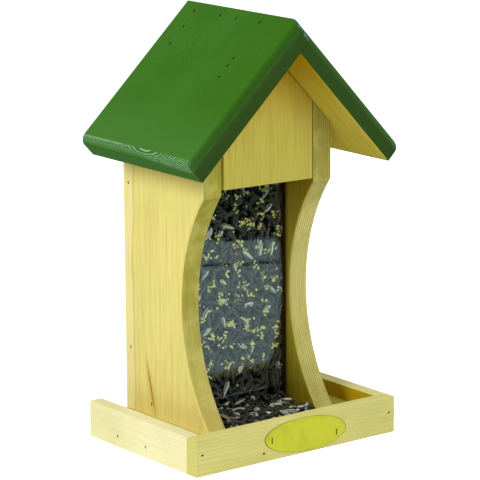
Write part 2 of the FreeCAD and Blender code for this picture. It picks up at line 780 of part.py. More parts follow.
gable_bottom = floor_top + dims.gable_rise
slant_drop = hopper_inner * sine(dims.gable_slant) / cosine(dims.gable_slant)
hanging_gable("front_gable", side_front,
              (dims.gable_left_gap - hopper_inner, hopper_inner - dims.gable_right_gap),
              (gable_bottom + slant_drop, gable_bottom - slant_drop), dims.gable_top_gap, gable_holes)
cleat_half = hopper_inner - dims.cleat_side_gap
cleat_bottom = floor_top + dims.cleat_rise
hanging_gable("rear_cleat", cleat_front, (-cleat_half, cleat_half), (cleat_bottom, cleat_bottom),
              size_of(0), cleat_holes)


def roof_board(name, hand, corners, holes):
    # A sloping board whose front and eave are rounded over on top, with a sharp corner between them.
    # Its lower edges are only eased, and its rear end stays square, because it stands against the wall.
    # Edges are told apart by their middles, measured in the board's own frame from its front end.
    body = doc.addObject("PartDesign::Body", f"{name}_blank")
    feature = pad(body, draw_polygon(body, "XZ_Plane", corners), "XZ_Plane", roof_front, dims.roof_depth)
    lean(body)
    upward = Vector(slope_sine.value * hand, 0, slope_cosine.value)
    downhill = Vector(slope_cosine.value * hand, 0, -slope_sine.value)
    eave_under, eave_top = [Vector(across.value, 0, up.value) for across, up in corners[:2]]
    near = 0.01

    def level_with(point, corner):
        return abs((point - corner).dot(upward)) < near

    def at_end(point):
        return min(abs(point.y), abs(point.y - dims.roof_depth.value)) < near

    def at_eave(point):
        return abs((point - eave_top).dot(downhill)) < near

    def at_ridge(point):
        return abs(point.x) < near and abs(point.z - ridge.value) < near

    def at_front_top(point):
        beyond_ridge = hand == LEFT and point.x > near
        return abs(point.y) < near and (level_with(point, eave_top) or beyond_ridge)

    def is_eased(point):
        return level_with(point, eave_under) and (at_end(point) or at_eave(point))

    rounds = (
        (at_front_top, dims.roof_round), (at_ridge, dims.ridge_round), (is_eased, dims.roof_arris),
    )
    for test, radius in rounds:
        doc.recompute()
        names = edge_names(feature.Shape, test)
        if names:
            feature = ease(body, feature, radius, names)
    nodes[name] = cut(name, body, holes + [eave_waste(name + "_eave_waste", hand)])


roof_board("roof_left_board", LEFT, [
    (-eave_x, eave_z), (-eave_out, eave_level), (size_of(0), ridge), overlap_point,
], ridge_holes + gable_holes[LEFT] + cleat_holes[LEFT])
roof_board("roof_right_board", RIGHT, [
    (eave_x, eave_z), (eave_out, eave_level), overlap_point, (size_of(0), apex),
], ridge_holes + gable_holes[RIGHT] + cleat_holes[RIGHT])

# Seed: the column behind the pane, and the heap that has run out in front of it
seed_half = hopper_inner - dims.seed_gap
seed_floor = floor_top + dims.seed_gap
seed_back = back_front - dims.seed_gap
slope_gap = dims.seed_gap / ramp_sine
fill_front = pane_back + dims.seed_gap
nodes["seed_fill"] = board("seed_fill", "YZ_Plane", [
    (fill_front, seed_floor),
    (ramp_foot - slope_gap, seed_floor),
    (seed_back, floor_top + dims.ramp_rise + slope_gap),
    (seed_back, floor_top + dims.seed_fill_rise),
    (fill_front, floor_top + dims.seed_fill_rise),
], -seed_half, seed_half * 2)
heap_back = pane_front - dims.seed_gap
heap_front = tray_inner_front + dims.seed_gap
nodes["tray_seed"] = board("tray_seed", "YZ_Plane", [
    (heap_front, seed_floor), (heap_back, seed_floor),
    (heap_back, floor_top + dims.seed_heap_rear), (heap_front, floor_top + dims.seed_heap_front),
], -seed_half, seed_half * 2)

doc.recompute()
failed = [obj.Label for obj in doc.Objects if "Invalid" in obj.State or "Error" in obj.State]
for node, obj in nodes.items():
    if obj.Shape.isNull() or not obj.Shape.isValid() or not obj.Shape.Solids:
        failed.append(node)
if failed:
    raise RuntimeError("these objects failed: " + ", ".join(failed))

os.makedirs("parts", exist_ok=True)
for node, obj in nodes.items():
    obj.Label = node
    obj.Shape.exportStep(f"parts/{node}.step")
    print(f"{node}: {len(obj.Shape.Solids)} solids, {obj.Shape.Volume:.1f} mm3")
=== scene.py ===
import math
import random

import bmesh
import bpy
from mathutils import Euler, Matrix, Vector


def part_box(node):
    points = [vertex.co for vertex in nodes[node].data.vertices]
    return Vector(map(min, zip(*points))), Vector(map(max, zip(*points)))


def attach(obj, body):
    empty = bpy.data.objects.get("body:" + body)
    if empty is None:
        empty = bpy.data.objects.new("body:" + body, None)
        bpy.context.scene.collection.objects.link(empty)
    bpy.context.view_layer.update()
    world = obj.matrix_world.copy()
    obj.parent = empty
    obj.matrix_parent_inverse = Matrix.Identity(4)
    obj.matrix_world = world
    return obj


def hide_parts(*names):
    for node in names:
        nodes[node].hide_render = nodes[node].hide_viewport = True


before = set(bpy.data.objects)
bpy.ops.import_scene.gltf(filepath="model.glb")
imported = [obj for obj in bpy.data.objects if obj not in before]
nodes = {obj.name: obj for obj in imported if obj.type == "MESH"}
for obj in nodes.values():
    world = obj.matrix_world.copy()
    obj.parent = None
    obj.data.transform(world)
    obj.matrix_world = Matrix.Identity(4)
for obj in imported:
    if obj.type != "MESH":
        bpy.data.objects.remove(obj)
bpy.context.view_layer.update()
scene = bpy.context.scene
mm = 0.001
wavePeriod = 0.314    # a wave texture repeats every 0.314 / scale metres


def inMetres(lengthsMm):
    return [length * mm for length in lengthsMm]


def linear(hexColour):
    channels = [int(hexColour[start:start + 2], 16) / 255 for start in (1, 3, 5)]
    return [c / 12.92 if c <= 0.04045 else ((c + 0.055) / 1.055) ** 2.4 for c in channels] + [1.0]


def addNode(tree, kind, values, **settings):
    node = tree.nodes.new(kind)
    for key, value in settings.items():
        setattr(node, key, value)
    for socket, value in values.items():
        if isinstance(value, bpy.types.NodeSocket):
            tree.links.new(value, node.inputs[socket])
        else:
            node.inputs[socket].default_value = value
    return node


# Lays a tone over a colour, as strongly as its share says, where each value has crossed its span.
def layTone(tree, colour, tone, share, limits=(), blend="MIX"):
    for value, (start, full) in limits:
        crossed = addNode(tree, "ShaderNodeMapRange", {
            "Value": value, "From Min": start, "From Max": full}).outputs[0]
        share = addNode(tree, "ShaderNodeMath", {0: share, 1: crossed}, operation="MULTIPLY").outputs[0]
    return addNode(tree, "ShaderNodeMix", {"Factor": share, 6: colour, 7: linear(tone)},
                   data_type="RGBA", blend_type=blend).outputs[2]


# A place on a piece, whole and as its X, Y and Z.
def ownPlace(tree):
    coords = addNode(tree, "ShaderNodeTexCoord", {}).outputs["Object"]
    return coords, addNode(tree, "ShaderNodeSeparateXYZ", {"Vector": coords}).outputs


# How squarely a face looks in a direction.
def facing(tree, direction):
    normal = addNode(tree, "ShaderNodeNewGeometry", {}).outputs["Normal"]
    return addNode(tree, "ShaderNodeVectorMath", {0: normal, 1: direction},
                   operation="DOT_PRODUCT").outputs["Value"]


def facingEitherWay(tree, direction):
    return addNode(tree, "ShaderNodeMath", {0: facing(tree, direction)}, operation="ABSOLUTE").outputs[0]


# How far a place lies from an oval's middle along the axes that are kept: 1 is the oval's edge.
def ovalReach(tree, coords, middleMm, turn, halfMm, kept):
    oval = addNode(tree, "ShaderNodeMapping", {
        "Vector": coords, "Location": inMetres(middleMm), "Rotation": turn, "Scale": inMetres(halfMm)},
        vector_type="TEXTURE").outputs[0]
    flat = addNode(tree, "ShaderNodeVectorMath", {0: oval, 1: kept}, operation="MULTIPLY").outputs[0]
    return addNode(tree, "ShaderNodeVectorMath", {0: flat}, operation="LENGTH").outputs["Value"]


def newMaterial(name, **sockets):
    material = bpy.data.materials.new(name)
    material.use_nodes = True
    tree = material.node_tree
    shader = tree.nodes["Principled BSDF"]
    for socket, value in sockets.items():
        shader.inputs[socket.replace("_", " ")].default_value = value
    return material, tree, shader


def dress(nodeName, material):
    slots = nodes[nodeName].data.materials
    slots.clear()
    slots.append(material)


# the roof leans to the right: where its two undersides meet, and how steep each board is
roofLay = {"apexMm": (2.45, 0, 318.96), "leftPitch": 43.2, "rightPitch": 46.8}

# turns that lay a pattern's own Z along the fibres
grainTurns = {
    "x": (0, math.radians(90), 0),
    "y": (math.radians(-90), 0, 0),
    "z": (0, 0, 0),
    "leftSlope": (0, math.radians(90 - roofLay["leftPitch"]), 0),
    "rightSlope": (0, math.radians(roofLay["rightPitch"] - 90), 0),
}

# boards of pressure-treated pine; pith is where the tree's middle would lie, in mm
pineBoards = {
    "left_side": {"grain": "z", "pith": (-150, 14, 0), "ringMm": 2.2,
                  "pale": "#E6D881", "dark": "#C3A746", "latewood": 0.24},
    "right_side": {"grain": "z", "pith": (190, 22, 0), "ringMm": 2.0, "pale": "#E4DB8C", "dark": "#B4A04A"},
    "front_gable": {"grain": "z", "pith": (-150, -110, 0), "ringMm": 2.6,
                    "pale": "#CCBF55", "dark": "#A58F2E", "latewood": 0.3},
    "front_rail": {"grain": "x", "pith": (0, -20, -70), "ringMm": 2.8, "pale": "#E6E08D", "dark": "#C8BD62"},
    # the rails are paler than the other boards: painted light of their brightly lit faces
    "left_rail": {"grain": "y", "pith": (-160, 0, -30), "ringMm": 3.4, "pale": "#F3EDBC", "dark": "#E4D79E"},
    "right_rail": {"grain": "y", "pith": (170, 0, -40), "ringMm": 3.4, "pale": "#F0E9A6", "dark": "#D6C97E"},
    "tray_floor": {"grain": "x", "pith": (0, 30, -60), "ringMm": 4.2, "pale": "#C0A82C", "dark": "#9A841C"},
    "back_board": {"grain": "z", "pith": (10, 150, 0), "ringMm": 4.0, "pale": "#E6D786", "dark": "#C2A64C"},
    "seed_ramp": {"grain": "x", "pith": (0, 90, -20), "ringMm": 3.2, "pale": "#E0CE7A", "dark": "#BA9D46"},
    "rear_cleat": {"grain": "x", "pith": (0, 70, 200), "ringMm": 3.0, "pale": "#E6D786", "dark": "#C2A64C"},
}
# a span says between which values of a pattern, or of how squarely a face looks, something sets in
pineFinish = {"stretch": 22, "bend": 5, "lateSpan": (0.3, 0.97), "latewood": 0.34,
              "yearsMm": 11, "yearsSpan": (0.35, 0.7), "poorYear": 0.1,
              "fibreMm": 1.3, "fleckSpan": (0.5, 0.78), "fleck": 0.3,
              "washMm": 60, "washSpan": (0.42, 0.72), "washShare": 0.35, "wash": "#C3C46C",
              "streakMm": 3.2, "streakSpan": (0.45, 0.72), "streak": 0.34,
              "endSpan": (0.35, 1), "endDark": 0.3,
              "reliefMm": 0.16, "relief": 0.7, "fibreRelief": 0.6, "roughness": 0.62, "specular": 0.12}


# Planed pine under a thin green-yellow preservative: soft satin, straight growth rings that
# the planer leaves faintly raised, short darker fibres, and end grain that soaks up more and is darker.
def pineColour(tree, board):
    coords = addNode(tree, "ShaderNodeTexCoord", {}).outputs["Object"]
    turn = grainTurns[board["grain"]]
    lay = addNode(tree, "ShaderNodeMapping", {
        "Vector": coords, "Location": inMetres(board["pith"]), "Rotation": turn,
        "Scale": (1, 1, pineFinish["stretch"])}, vector_type="TEXTURE").outputs[0]
    growth = addNode(tree, "ShaderNodeTexWave", {
        "Vector": lay, "Scale": wavePeriod / (board["ringMm"] * mm), "Distortion": pineFinish["bend"],
        "Detail": 2, "Detail Scale": 0.5, "Detail Roughness": 0.5},
        wave_type="RINGS", rings_direction="Z", wave_profile="SAW").outputs["Fac"]
    start, full = pineFinish["lateSpan"]
    late = addNode(tree, "ShaderNodeMapRange", {
        "Value": growth, "From Min": start, "From Max": full,
        "To Max": board.get("latewood", pineFinish["latewood"])}, interpolation_type="SMOOTHSTEP").outputs[0]
    # good and poor years: some rings are strong and some hardly show
    years = addNode(tree, "ShaderNodeTexNoise", {
        "Vector": lay, "Scale": 1 / (pineFinish["yearsMm"] * mm), "Detail": 1}).outputs[0]
    start, full = pineFinish["yearsSpan"]
    years = addNode(tree, "ShaderNodeMapRange", {
        "Value": years, "From Min": start, "From Max": full, "To Min": pineFinish["poorYear"]}).outputs[0]
    late = addNode(tree, "ShaderNodeMath", {0: late, 1: years}, operation="MULTIPLY").outputs[0]
    # real fibres are finer; these are as fine as the picture can show
    fibres = addNode(tree, "ShaderNodeTexNoise", {
        "Vector": lay, "Scale": 1 / (pineFinish["fibreMm"] * mm), "Detail": 3, "Roughness": 0.65}).outputs[0]
    cloud = addNode(tree, "ShaderNodeTexNoise", {
        "Vector": coords, "Scale": 1 / (pineFinish["washMm"] * mm), "Detail": 2}).outputs[0]
    # broad uneven streaks where the preservative went in more deeply
    drawn = addNode(tree, "ShaderNodeTexNoise", {
        "Vector": lay, "Scale": 1 / (pineFinish["streakMm"] * mm), "Detail": 4, "Roughness": 0.6}).outputs[0]
    start, full = pineFinish["streakSpan"]
    drawn = addNode(tree, "ShaderNodeMapRange", {
        "Value": drawn, "From Min": start, "From Max": full, "To Max": pineFinish["streak"]}).outputs[0]
    darker = addNode(tree, "ShaderNodeMath", {0: late, 1: drawn}, operation="MAXIMUM").outputs[0]
    colour = layTone(tree, linear(board["pale"]), board["dark"], darker)
    washed = [(cloud, pineFinish["washSpan"])]
    colour = layTone(tree, colour, pineFinish["wash"], pineFinish["washShare"], washed)
    flecks = [(fibres, pineFinish["fleckSpan"])]
    colour = layTone(tree, colour, board["dark"], pineFinish["fleck"], flecks, "MULTIPLY")
    # how squarely a face cuts across the fibres
    across = facingEitherWay(tree, Euler(turn).to_matrix() @ Vector((0, 0, 1)))
    endGrain = [(across, pineFinish["endSpan"])]
    colour = layTone(tree, colour, board["dark"], pineFinish["endDark"], endGrain, "MULTIPLY")
    height = addNode(tree, "ShaderNodeMath", {0: fibres, 1: pineFinish["fibreRelief"], 2: late},
                     operation="MULTIPLY_ADD").outputs[0]
    return colour, height


sawnEdgesAndShade = {
    "left_side": {"colour": "#BEC67C", "foot": 0.4, "body": 0.85, "shoulder": 0.25, "lines": 0.15},
    "right_side": {"colour": "#CACA9C", "foot": 0.8, "body": 0.1, "shoulder": 1.2, "lines": 0.4},
}
sawnFinish = {"edgeSpan": (0.8, 0.4), "bodyMm": (22, 120), "shoulderMm": (180, 220),
              "patchMm": 14, "patchSpan": (0.35, 0.6), "patchLow": 0.45,
              "lineMm": 2.1, "lineSpan": (0.55, 1), "line": "#A89A48"}


# Bandsawn edges of the cheeks soak up more preservative; the tint also paints shade, changing with height, at
# the foot and under the roof.
def sawnMarksAndShade(tree, edge, colour):
    coords, parts = ownPlace(tree)
    cutEdge = (facingEitherWay(tree, (1, 0, 0)), sawnFinish["edgeSpan"])
    low, high = inMetres(sawnFinish["bodyMm"])
    body = addNode(tree, "ShaderNodeMapRange", {
        "Value": parts["Z"], "From Min": low, "From Max": high,
        "To Min": edge["foot"], "To Max": edge["body"]}).outputs[0]
    low, high = inMetres(sawnFinish["shoulderMm"])
    shoulder = addNode(tree, "ShaderNodeMapRange", {
        "Value": parts["Z"], "From Min": low, "From Max": high, "To Max": edge["shoulder"]}).outputs[0]
    soakedAndShaded = addNode(tree, "ShaderNodeMath", {0: body, 1: shoulder}, operation="ADD").outputs[0]
    patchy = addNode(tree, "ShaderNodeTexNoise", {
        "Vector": coords, "Scale": 1 / (sawnFinish["patchMm"] * mm), "Detail": 3}).outputs[0]
    start, full = sawnFinish["patchSpan"]
    patchy = addNode(tree, "ShaderNodeMapRange", {
        "Value": patchy, "From Min": start, "From Max": full, "To Min": sawnFinish["patchLow"]}).outputs[0]
    soakedAndShaded = addNode(tree, "ShaderNodeMath", {0: soakedAndShaded, 1: patchy}, operation="MULTIPLY").outputs[0]
    colour = layTone(tree, colour, edge["colour"], soakedAndShaded, [cutEdge], "MULTIPLY")
    # year rings show as lines along the cut, in real 1 to 2 mm apart and here as fine as the picture can show
    rings = addNode(tree, "ShaderNodeTexWave", {
        "Vector": coords, "Scale": wavePeriod / (sawnFinish["lineMm"] * mm), "Distortion": 1.2, "Detail": 2,
        "Detail Scale": 0.4}, wave_type="BANDS", bands_direction="X", wave_profile="SIN").outputs["Fac"]
    lines = [(rings, sawnFinish["lineSpan"]), cutEdge]
    return layTone(tree, colour, sawnFinish["line"], edge["lines"], lines, "MULTIPLY")


# painted shade on faces round the tray and under the roof: the right cheek's inner face, darkest low down and
# high up, the inner faces of the front and right rails, and the gable's top
paintedShades = [
    {"node": "right_side", "facing": (-1, 0, 0), "plainToShadedMm": (330, 300), "colour": "#E2DA7C"},
    {"node": "right_side", "facing": (-1, 0, 0), "plainToShadedMm": (140, 205), "colour": "#CEBE80"},
    {"node": "right_side", "facing": (-1, 0, 0), "plainToShadedMm": (110, 30), "colour": "#A0984E"},
    {"node": "front_rail", "facing": (0, 1, 0), "plainToShadedMm": (31, 27), "colour": "#57481C"},
    {"node": "right_rail", "facing": (-1, 0, 0), "plainToShadedMm": (60, 31), "colour": "#CEAF12"},
    {"node": "front_gable", "facing": (0, -1, 0), "plainToShadedMm": (258, 308), "colour": "#F6D232"},
]
faceSpan = (0.5, 0.9)    # how squarely a face has to look in a direction to take a mark


# Painted shade on one face, set by how squarely it looks one way and by its height.
def paintedShadeMarks(tree, shadeMark, colour):
    height = ownPlace(tree)[1]["Z"]
    limits = [(facing(tree, shadeMark["facing"]), faceSpan), (height, inMetres(shadeMark["plainToShadedMm"]))]
    return layTone(tree, colour, shadeMark["colour"], 1, limits, "MULTIPLY")


hopperShade = {"nodes": ("left_side", "right_side"), "colour": "#4A2E1E", "fromMm": 0.9, "toMm": 60.4,
              "deepMm": 51.2, "fadeMm": 5, "shadeBeforePane": 0.45, "plainToShadedMm": (236, 214)}


# Painted shade in the kerfs and on the cheeks' inner faces inside the hopper behind the pane, fading out in
# front of it.
def hopperShadeMarks(tree, colour):
    parts = ownPlace(tree)[1]
    start = hopperShade["fromMm"] * mm
    behind = addNode(tree, "ShaderNodeMath", {0: parts["Y"], 1: start}, operation="GREATER_THAN").outputs[0]
    shadeBeforePane = addNode(tree, "ShaderNodeMapRange", {
        "Value": parts["Y"], "From Min": start - hopperShade["fadeMm"] * mm, "From Max": start,
        "To Max": hopperShade["shadeBeforePane"]}).outputs[0]
    paintedShade = addNode(tree, "ShaderNodeMath", {0: behind, 1: shadeBeforePane}, operation="MAXIMUM").outputs[0]
    aside = addNode(tree, "ShaderNodeMath", {0: parts["X"]}, operation="ABSOLUTE").outputs[0]
    for length, endMm in ((aside, hopperShade["deepMm"]), (parts["Y"], hopperShade["toMm"])):
        within = addNode(tree, "ShaderNodeMath", {0: length, 1: endMm * mm}, operation="LESS_THAN").outputs[0]
        paintedShade = addNode(tree, "ShaderNodeMath", {0: paintedShade, 1: within}, operation="MULTIPLY").outputs[0]
    level = [(parts["Z"], inMetres(hopperShade["plainToShadedMm"]))]
    return layTone(tree, colour, hopperShade["colour"], paintedShade, level, "MULTIPLY")


sapwood = {"node": "left_side", "fromMm": 59.5, "wanderMm": 9, "bendMm": 24, "stretch": (1, 0.3, 0.5),
           "colour": "#F5E7B4", "share": 0.36, "blurMm": 2,
           "ring": "#B88C3C", "ringMm": 1.2, "ringShare": 0.45}


# Pale sapwood along the rear of a cheek's outer face, with one strong ring beside it.
def sapMarks(tree, colour):
    coords, parts = ownPlace(tree)
    outer = (facing(tree, (-1, 0, 0)), faceSpan)
    lay = addNode(tree, "ShaderNodeMapping", {"Vector": coords, "Scale": sapwood["stretch"]}).outputs[0]
    wander = addNode(tree, "ShaderNodeTexNoise", {
        "Vector": lay, "Scale": 1 / (sapwood["bendMm"] * mm), "Detail": 1}).outputs[0]
    place = addNode(tree, "ShaderNodeMath", {0: wander, 1: sapwood["wanderMm"] * mm, 2: parts["Y"]},
                    operation="MULTIPLY_ADD").outputs[0]
    past = addNode(tree, "ShaderNodeMath", {
        0: place, 1: (sapwood["fromMm"] + sapwood["wanderMm"] / 2) * mm}, operation="SUBTRACT").outputs[0]
    pale = [(past, (0, sapwood["blurMm"] * mm)), outer]
    colour = layTone(tree, colour, sapwood["colour"], sapwood["share"], pale)
    away = addNode(tree, "ShaderNodeMath", {0: past}, operation="ABSOLUTE").outputs[0]
    ring = [(away, (sapwood["ringMm"] * mm, 0)), outer]
    return layTone(tree, colour, sapwood["ring"], sapwood["ringShare"], ring)


resinStreak = {"node": "left_side", "fromMm": (45.6, 71.5), "toMm": (30.5, 12), "fadeSpan": (1, 0.3),
               "halo": {"wideMm": 6, "colour": "#D2B24C", "share": 0.6},
               "core": {"wideMm": 1.3, "colour": "#8E6A28", "share": 0.9}}


# A streak of resin in the shape of a spindle, given by its ends in Y and Z.
def resinMarks(tree, colour):
    coords = addNode(tree, "ShaderNodeTexCoord", {}).outputs["Object"]
    start, end = Vector(resinStreak["fromMm"]), Vector(resinStreak["toMm"])
    middle, run = (start + end) / 2, start - end
    for layer in (resinStreak["halo"], resinStreak["core"]):
        reach = ovalReach(tree, coords, (0, middle.x, middle.y), (-math.atan2(run.x, run.y), 0, 0),
                          (1, layer["wideMm"], run.length / 2), (0, 1, 1))
        colour = layTone(tree, colour, layer["colour"], layer["share"], [(reach, resinStreak["fadeSpan"])])
    return colour


# What the saw and the tree's resin did to one board's faces, with the painted shade laid on them.
def faceMarks(tree, nodeName, colour):
    if nodeName in sawnEdgesAndShade:
        colour = sawnMarksAndShade(tree, sawnEdgesAndShade[nodeName], colour)
    for shadeMark in paintedShades:
        if shadeMark["node"] == nodeName:
            colour = paintedShadeMarks(tree, shadeMark, colour)
    if nodeName in hopperShade["nodes"]:
        colour = hopperShadeMarks(tree, colour)
    if nodeName == sapwood["node"]:
        colour = sapMarks(tree, colour)
    if nodeName == resinStreak["node"]:
        colour = resinMarks(tree, colour)
    return colour


def pineBoard(nodeName, board):
    material, tree, shader = newMaterial(f"treated pine {nodeName}", Roughness=pineFinish["roughness"],
                                         Specular_IOR_Level=pineFinish["specular"])
    colour, height = pineColour(tree, board)
    colour = faceMarks(tree, nodeName, colour)
    relief = addNode(tree, "ShaderNodeBump", {
        "Height": height, "Distance": pineFinish["reliefMm"] * mm,
        "Strength": pineFinish["relief"]}).outputs[0]
    tree.links.new(colour, shader.inputs["Base Color"])
    tree.links.new(relief, shader.inputs["Normal"])
    dress(nodeName, material)


for nodeName, board in pineBoards.items():
    pineBoard(nodeName, board)
print("pine:", len(pineBoards), "boards")

# roof boards: green paint on the top and the edges, bare pine below; the rounding over the front and the
# front itself are told apart by how squarely they look forward
roofBoards = {
    "roof_left_board": {
        "grain": "leftSlope", "outward": -1, "pith": (-40, -17, 250), "rounding": "#2B5016",
        "roundSpan": (0.32, 0.68), "roundShare": 0.85, "frontSpan": (0.9, 0.94), "lineShare": 0.1},
    "roof_right_board": {
        "grain": "rightSlope", "outward": 1, "pith": (60, 20, 250), "rounding": "#345020",
        "roundSpan": (0.1, 0.9), "roundShare": 0.6, "frontSpan": (0.93, 0.97), "lineShare": 0},
}
roofFinish = {"paint": "#396B19", "rear": "#3D7122", "rearMm": (-45, 5),
              "brushMm": 2.2, "brushStretch": (1, 1, 0.05), "thin": "#447A28", "thinSpan": (0.4, 0.75),
              "thinShare": 0.25, "deepMm": 35, "deep": "#2E6016", "deepSpan": (0.45, 0.75), "deepShare": 0.45,
              "eaveSheen": "#45772E", "eaveSheenMm": (-70, -115), "eaveSheenShare": 0.9,
              "endGrain": "#30600C", "endMm": (-126, -129), "endShare": 0.8, "front": "#345020",
              "gritMm": 1.5, "gritRelief": 0.4, "reliefMm": 0.3, "relief": 0.5,
              "roughSpan": (0.3, 0.7), "roughness": (0.36, 0.5), "bareRoughness": 0.65, "specular": 0.01}


# An even green, thinner and deeper in places, and lighter and bluer towards the eave as a painted sheen of
# the key lamp.
def brushedPaint(tree, place, parts, brush):
    broad = addNode(tree, "ShaderNodeTexNoise", {
        "Vector": place, "Scale": 1 / (roofFinish["deepMm"] * mm), "Detail": 3}).outputs[0]
    backward = [(parts["Y"], inMetres(roofFinish["rearMm"]))]
    paint = layTone(tree, linear(roofFinish["paint"]), roofFinish["rear"], 1, backward)
    for tone, value, span in (("thin", brush, roofFinish["thinSpan"]),
                              ("deep", broad, roofFinish["deepSpan"]),
                              ("eaveSheen", parts["Z"], inMetres(roofFinish["eaveSheenMm"]))):
        paint = layTone(tree, paint, roofFinish[tone], roofFinish[tone + "Share"], [(value, span)])
    return paint


roughPatch = {"middleMm": (0, 45, -24), "halfMm": (60, 52, 36), "fadeSpan": (1.3, 0.4),
              "pit": {"colour": "#1E4A12", "span": (0.6, 0.67)},
              "grit": {"colour": "#57893F", "span": (0.38, 0.28)}}


# A rough patch towards the back of the ridge, with pits and a little grit in the paint.
def roughPaint(tree, place, grit, paint):
    far = ovalReach(tree, place, roughPatch["middleMm"], (0, 0, 0), roughPatch["halfMm"], (1, 1, 1))
    for speck in (roughPatch["pit"], roughPatch["grit"]):
        limits = [(grit, speck["span"]), (far, roughPatch["fadeSpan"])]
        paint = layTone(tree, paint, speck["colour"], 1, limits)
    return paint


# lengths in the board's own frame: the rings' middle lies above the board
eaveRubAndGlints = {"colour": "#CBE6CC", "ground": "#2F6A22", "groundShare": 0.6,
           "ringMm": 1.15, "middleMm": (109, -10, 0), "lineSpan": (0.68, 0.98),
           "fromMm": 122.7, "setInMm": 1.2, "alongMm": (-60, -5), "downMm": (9.5, 14.2), "blurMm": 3.2,
           "fadeMm": (-20, 20), "fade": (0.78, 0.5), "brokenSpan": (0.35, 0.65), "broken": 0.15,
           "brightMm": 1, "bright": 0.9, "brightFromMm": (0, 25)}


# The share of the eave that is rubbed; the band is broader towards the front.
def rubbedBand(tree, parts):
    start, full = inMetres(eaveRubAndGlints["alongMm"])
    down, rearDown = inMetres(eaveRubAndGlints["downMm"])
    reach = addNode(tree, "ShaderNodeMapRange", {
        "Value": parts["Y"], "From Min": start, "From Max": full,
        "To Min": down, "To Max": rearDown}).outputs[0]
    above = addNode(tree, "ShaderNodeMath", {0: parts["X"], 1: reach}, operation="SUBTRACT").outputs[0]
    onRound = addNode(tree, "ShaderNodeMapRange", {
        "Value": above, "From Max": eaveRubAndGlints["blurMm"] * mm}).outputs[0]
    atEave = addNode(tree, "ShaderNodeMapRange", {
        "Value": parts["Z"], "From Min": -eaveRubAndGlints["fromMm"] * mm,
        "From Max": -(eaveRubAndGlints["fromMm"] + eaveRubAndGlints["setInMm"]) * mm}).outputs[0]
    return addNode(tree, "ShaderNodeMath", {0: atEave, 1: onRound}, operation="MULTIPLY").outputs[0]


# Growth rings where the eave cuts across them, rubbed pale and partly painted glints on the ridged grain, and
# a bright line where the rubbing starts, towards the back.
def rubbedLinesAndGlints(tree, place, parts):
    ringLay = addNode(tree, "ShaderNodeMapping", {
        "Vector": place, "Location": inMetres(eaveRubAndGlints["middleMm"])}, vector_type="TEXTURE").outputs[0]
    growth = addNode(tree, "ShaderNodeTexWave", {
        "Vector": ringLay, "Scale": wavePeriod / (eaveRubAndGlints["ringMm"] * mm), "Distortion": 0.8, "Detail": 2,
        "Detail Scale": 0.6}, wave_type="RINGS", rings_direction="Z", wave_profile="SIN").outputs["Fac"]
    start, full = eaveRubAndGlints["lineSpan"]
    lines = addNode(tree, "ShaderNodeMapRange", {
        "Value": growth, "From Min": start, "From Max": full}).outputs[0]
    startMm = eaveRubAndGlints["fromMm"] + eaveRubAndGlints["setInMm"]
    bright = addNode(tree, "ShaderNodeMapRange", {
        "Value": parts["Z"], "From Min": -startMm * mm, "From Max": -(startMm + eaveRubAndGlints["brightMm"]) * mm,
        "To Min": eaveRubAndGlints["bright"], "To Max": 0}).outputs[0]
    start, full = inMetres(eaveRubAndGlints["brightFromMm"])
    behind = addNode(tree, "ShaderNodeMapRange", {
        "Value": parts["Y"], "From Min": start, "From Max": full}).outputs[0]
    bright = addNode(tree, "ShaderNodeMath", {0: bright, 1: behind}, operation="MULTIPLY").outputs[0]
    return addNode(tree, "ShaderNodeMath", {0: lines, 1: bright}, operation="MAXIMUM").outputs[0]


# End grain along the eave, rubbed pale and broken up more towards the back; its pale lines are partly painted
# glints.
def rubbedEave(tree, place, parts, grit, paint):
    rubbed = rubbedBand(tree, parts)
    ground = addNode(tree, "ShaderNodeMath", {0: rubbed, 1: eaveRubAndGlints["groundShare"]},
                     operation="MULTIPLY").outputs[0]
    paint = layTone(tree, paint, eaveRubAndGlints["ground"], ground)
    start, full = inMetres(eaveRubAndGlints["fadeMm"])
    front, rear = eaveRubAndGlints["fade"]
    strong = addNode(tree, "ShaderNodeMapRange", {
        "Value": parts["Y"], "From Min": start, "From Max": full, "To Min": front, "To Max": rear}).outputs[0]
    start, full = eaveRubAndGlints["brokenSpan"]
    broken = addNode(tree, "ShaderNodeMapRange", {
        "Value": grit, "From Min": start, "From Max": full,
        "To Min": eaveRubAndGlints["broken"], "To Max": strong}).outputs[0]
    streak = rubbedLinesAndGlints(tree, place, parts)
    for share in (rubbed, broken):
        streak = addNode(tree, "ShaderNodeMath", {0: streak, 1: share}, operation="MULTIPLY").outputs[0]
    return layTone(tree, paint, eaveRubAndGlints["colour"], streak)


wornLine = {"colour": "#6A967A", "gritSpan": (0.4, 0.6), "lowSpan": (0.83, 0.88), "highSpan": (0.93, 0.9)}


# The sawn front and back drink the paint and are darker, with a faint worn line where the rounding ends; the
# darker green on the rounding is painted shade.
def frontEdge(tree, board, grit, paint):
    forward = facingEitherWay(tree, (0, 1, 0))
    paint = layTone(tree, paint, board["rounding"], board["roundShare"], [(forward, board["roundSpan"])])
    paint = layTone(tree, paint, roofFinish["front"], 1, [(forward, board["frontSpan"])])
    limits = [(grit, wornLine["gritSpan"]), (forward, wornLine["lowSpan"]), (forward, wornLine["highSpan"])]
    return layTone(tree, paint, wornLine["colour"], board["lineShare"], limits)


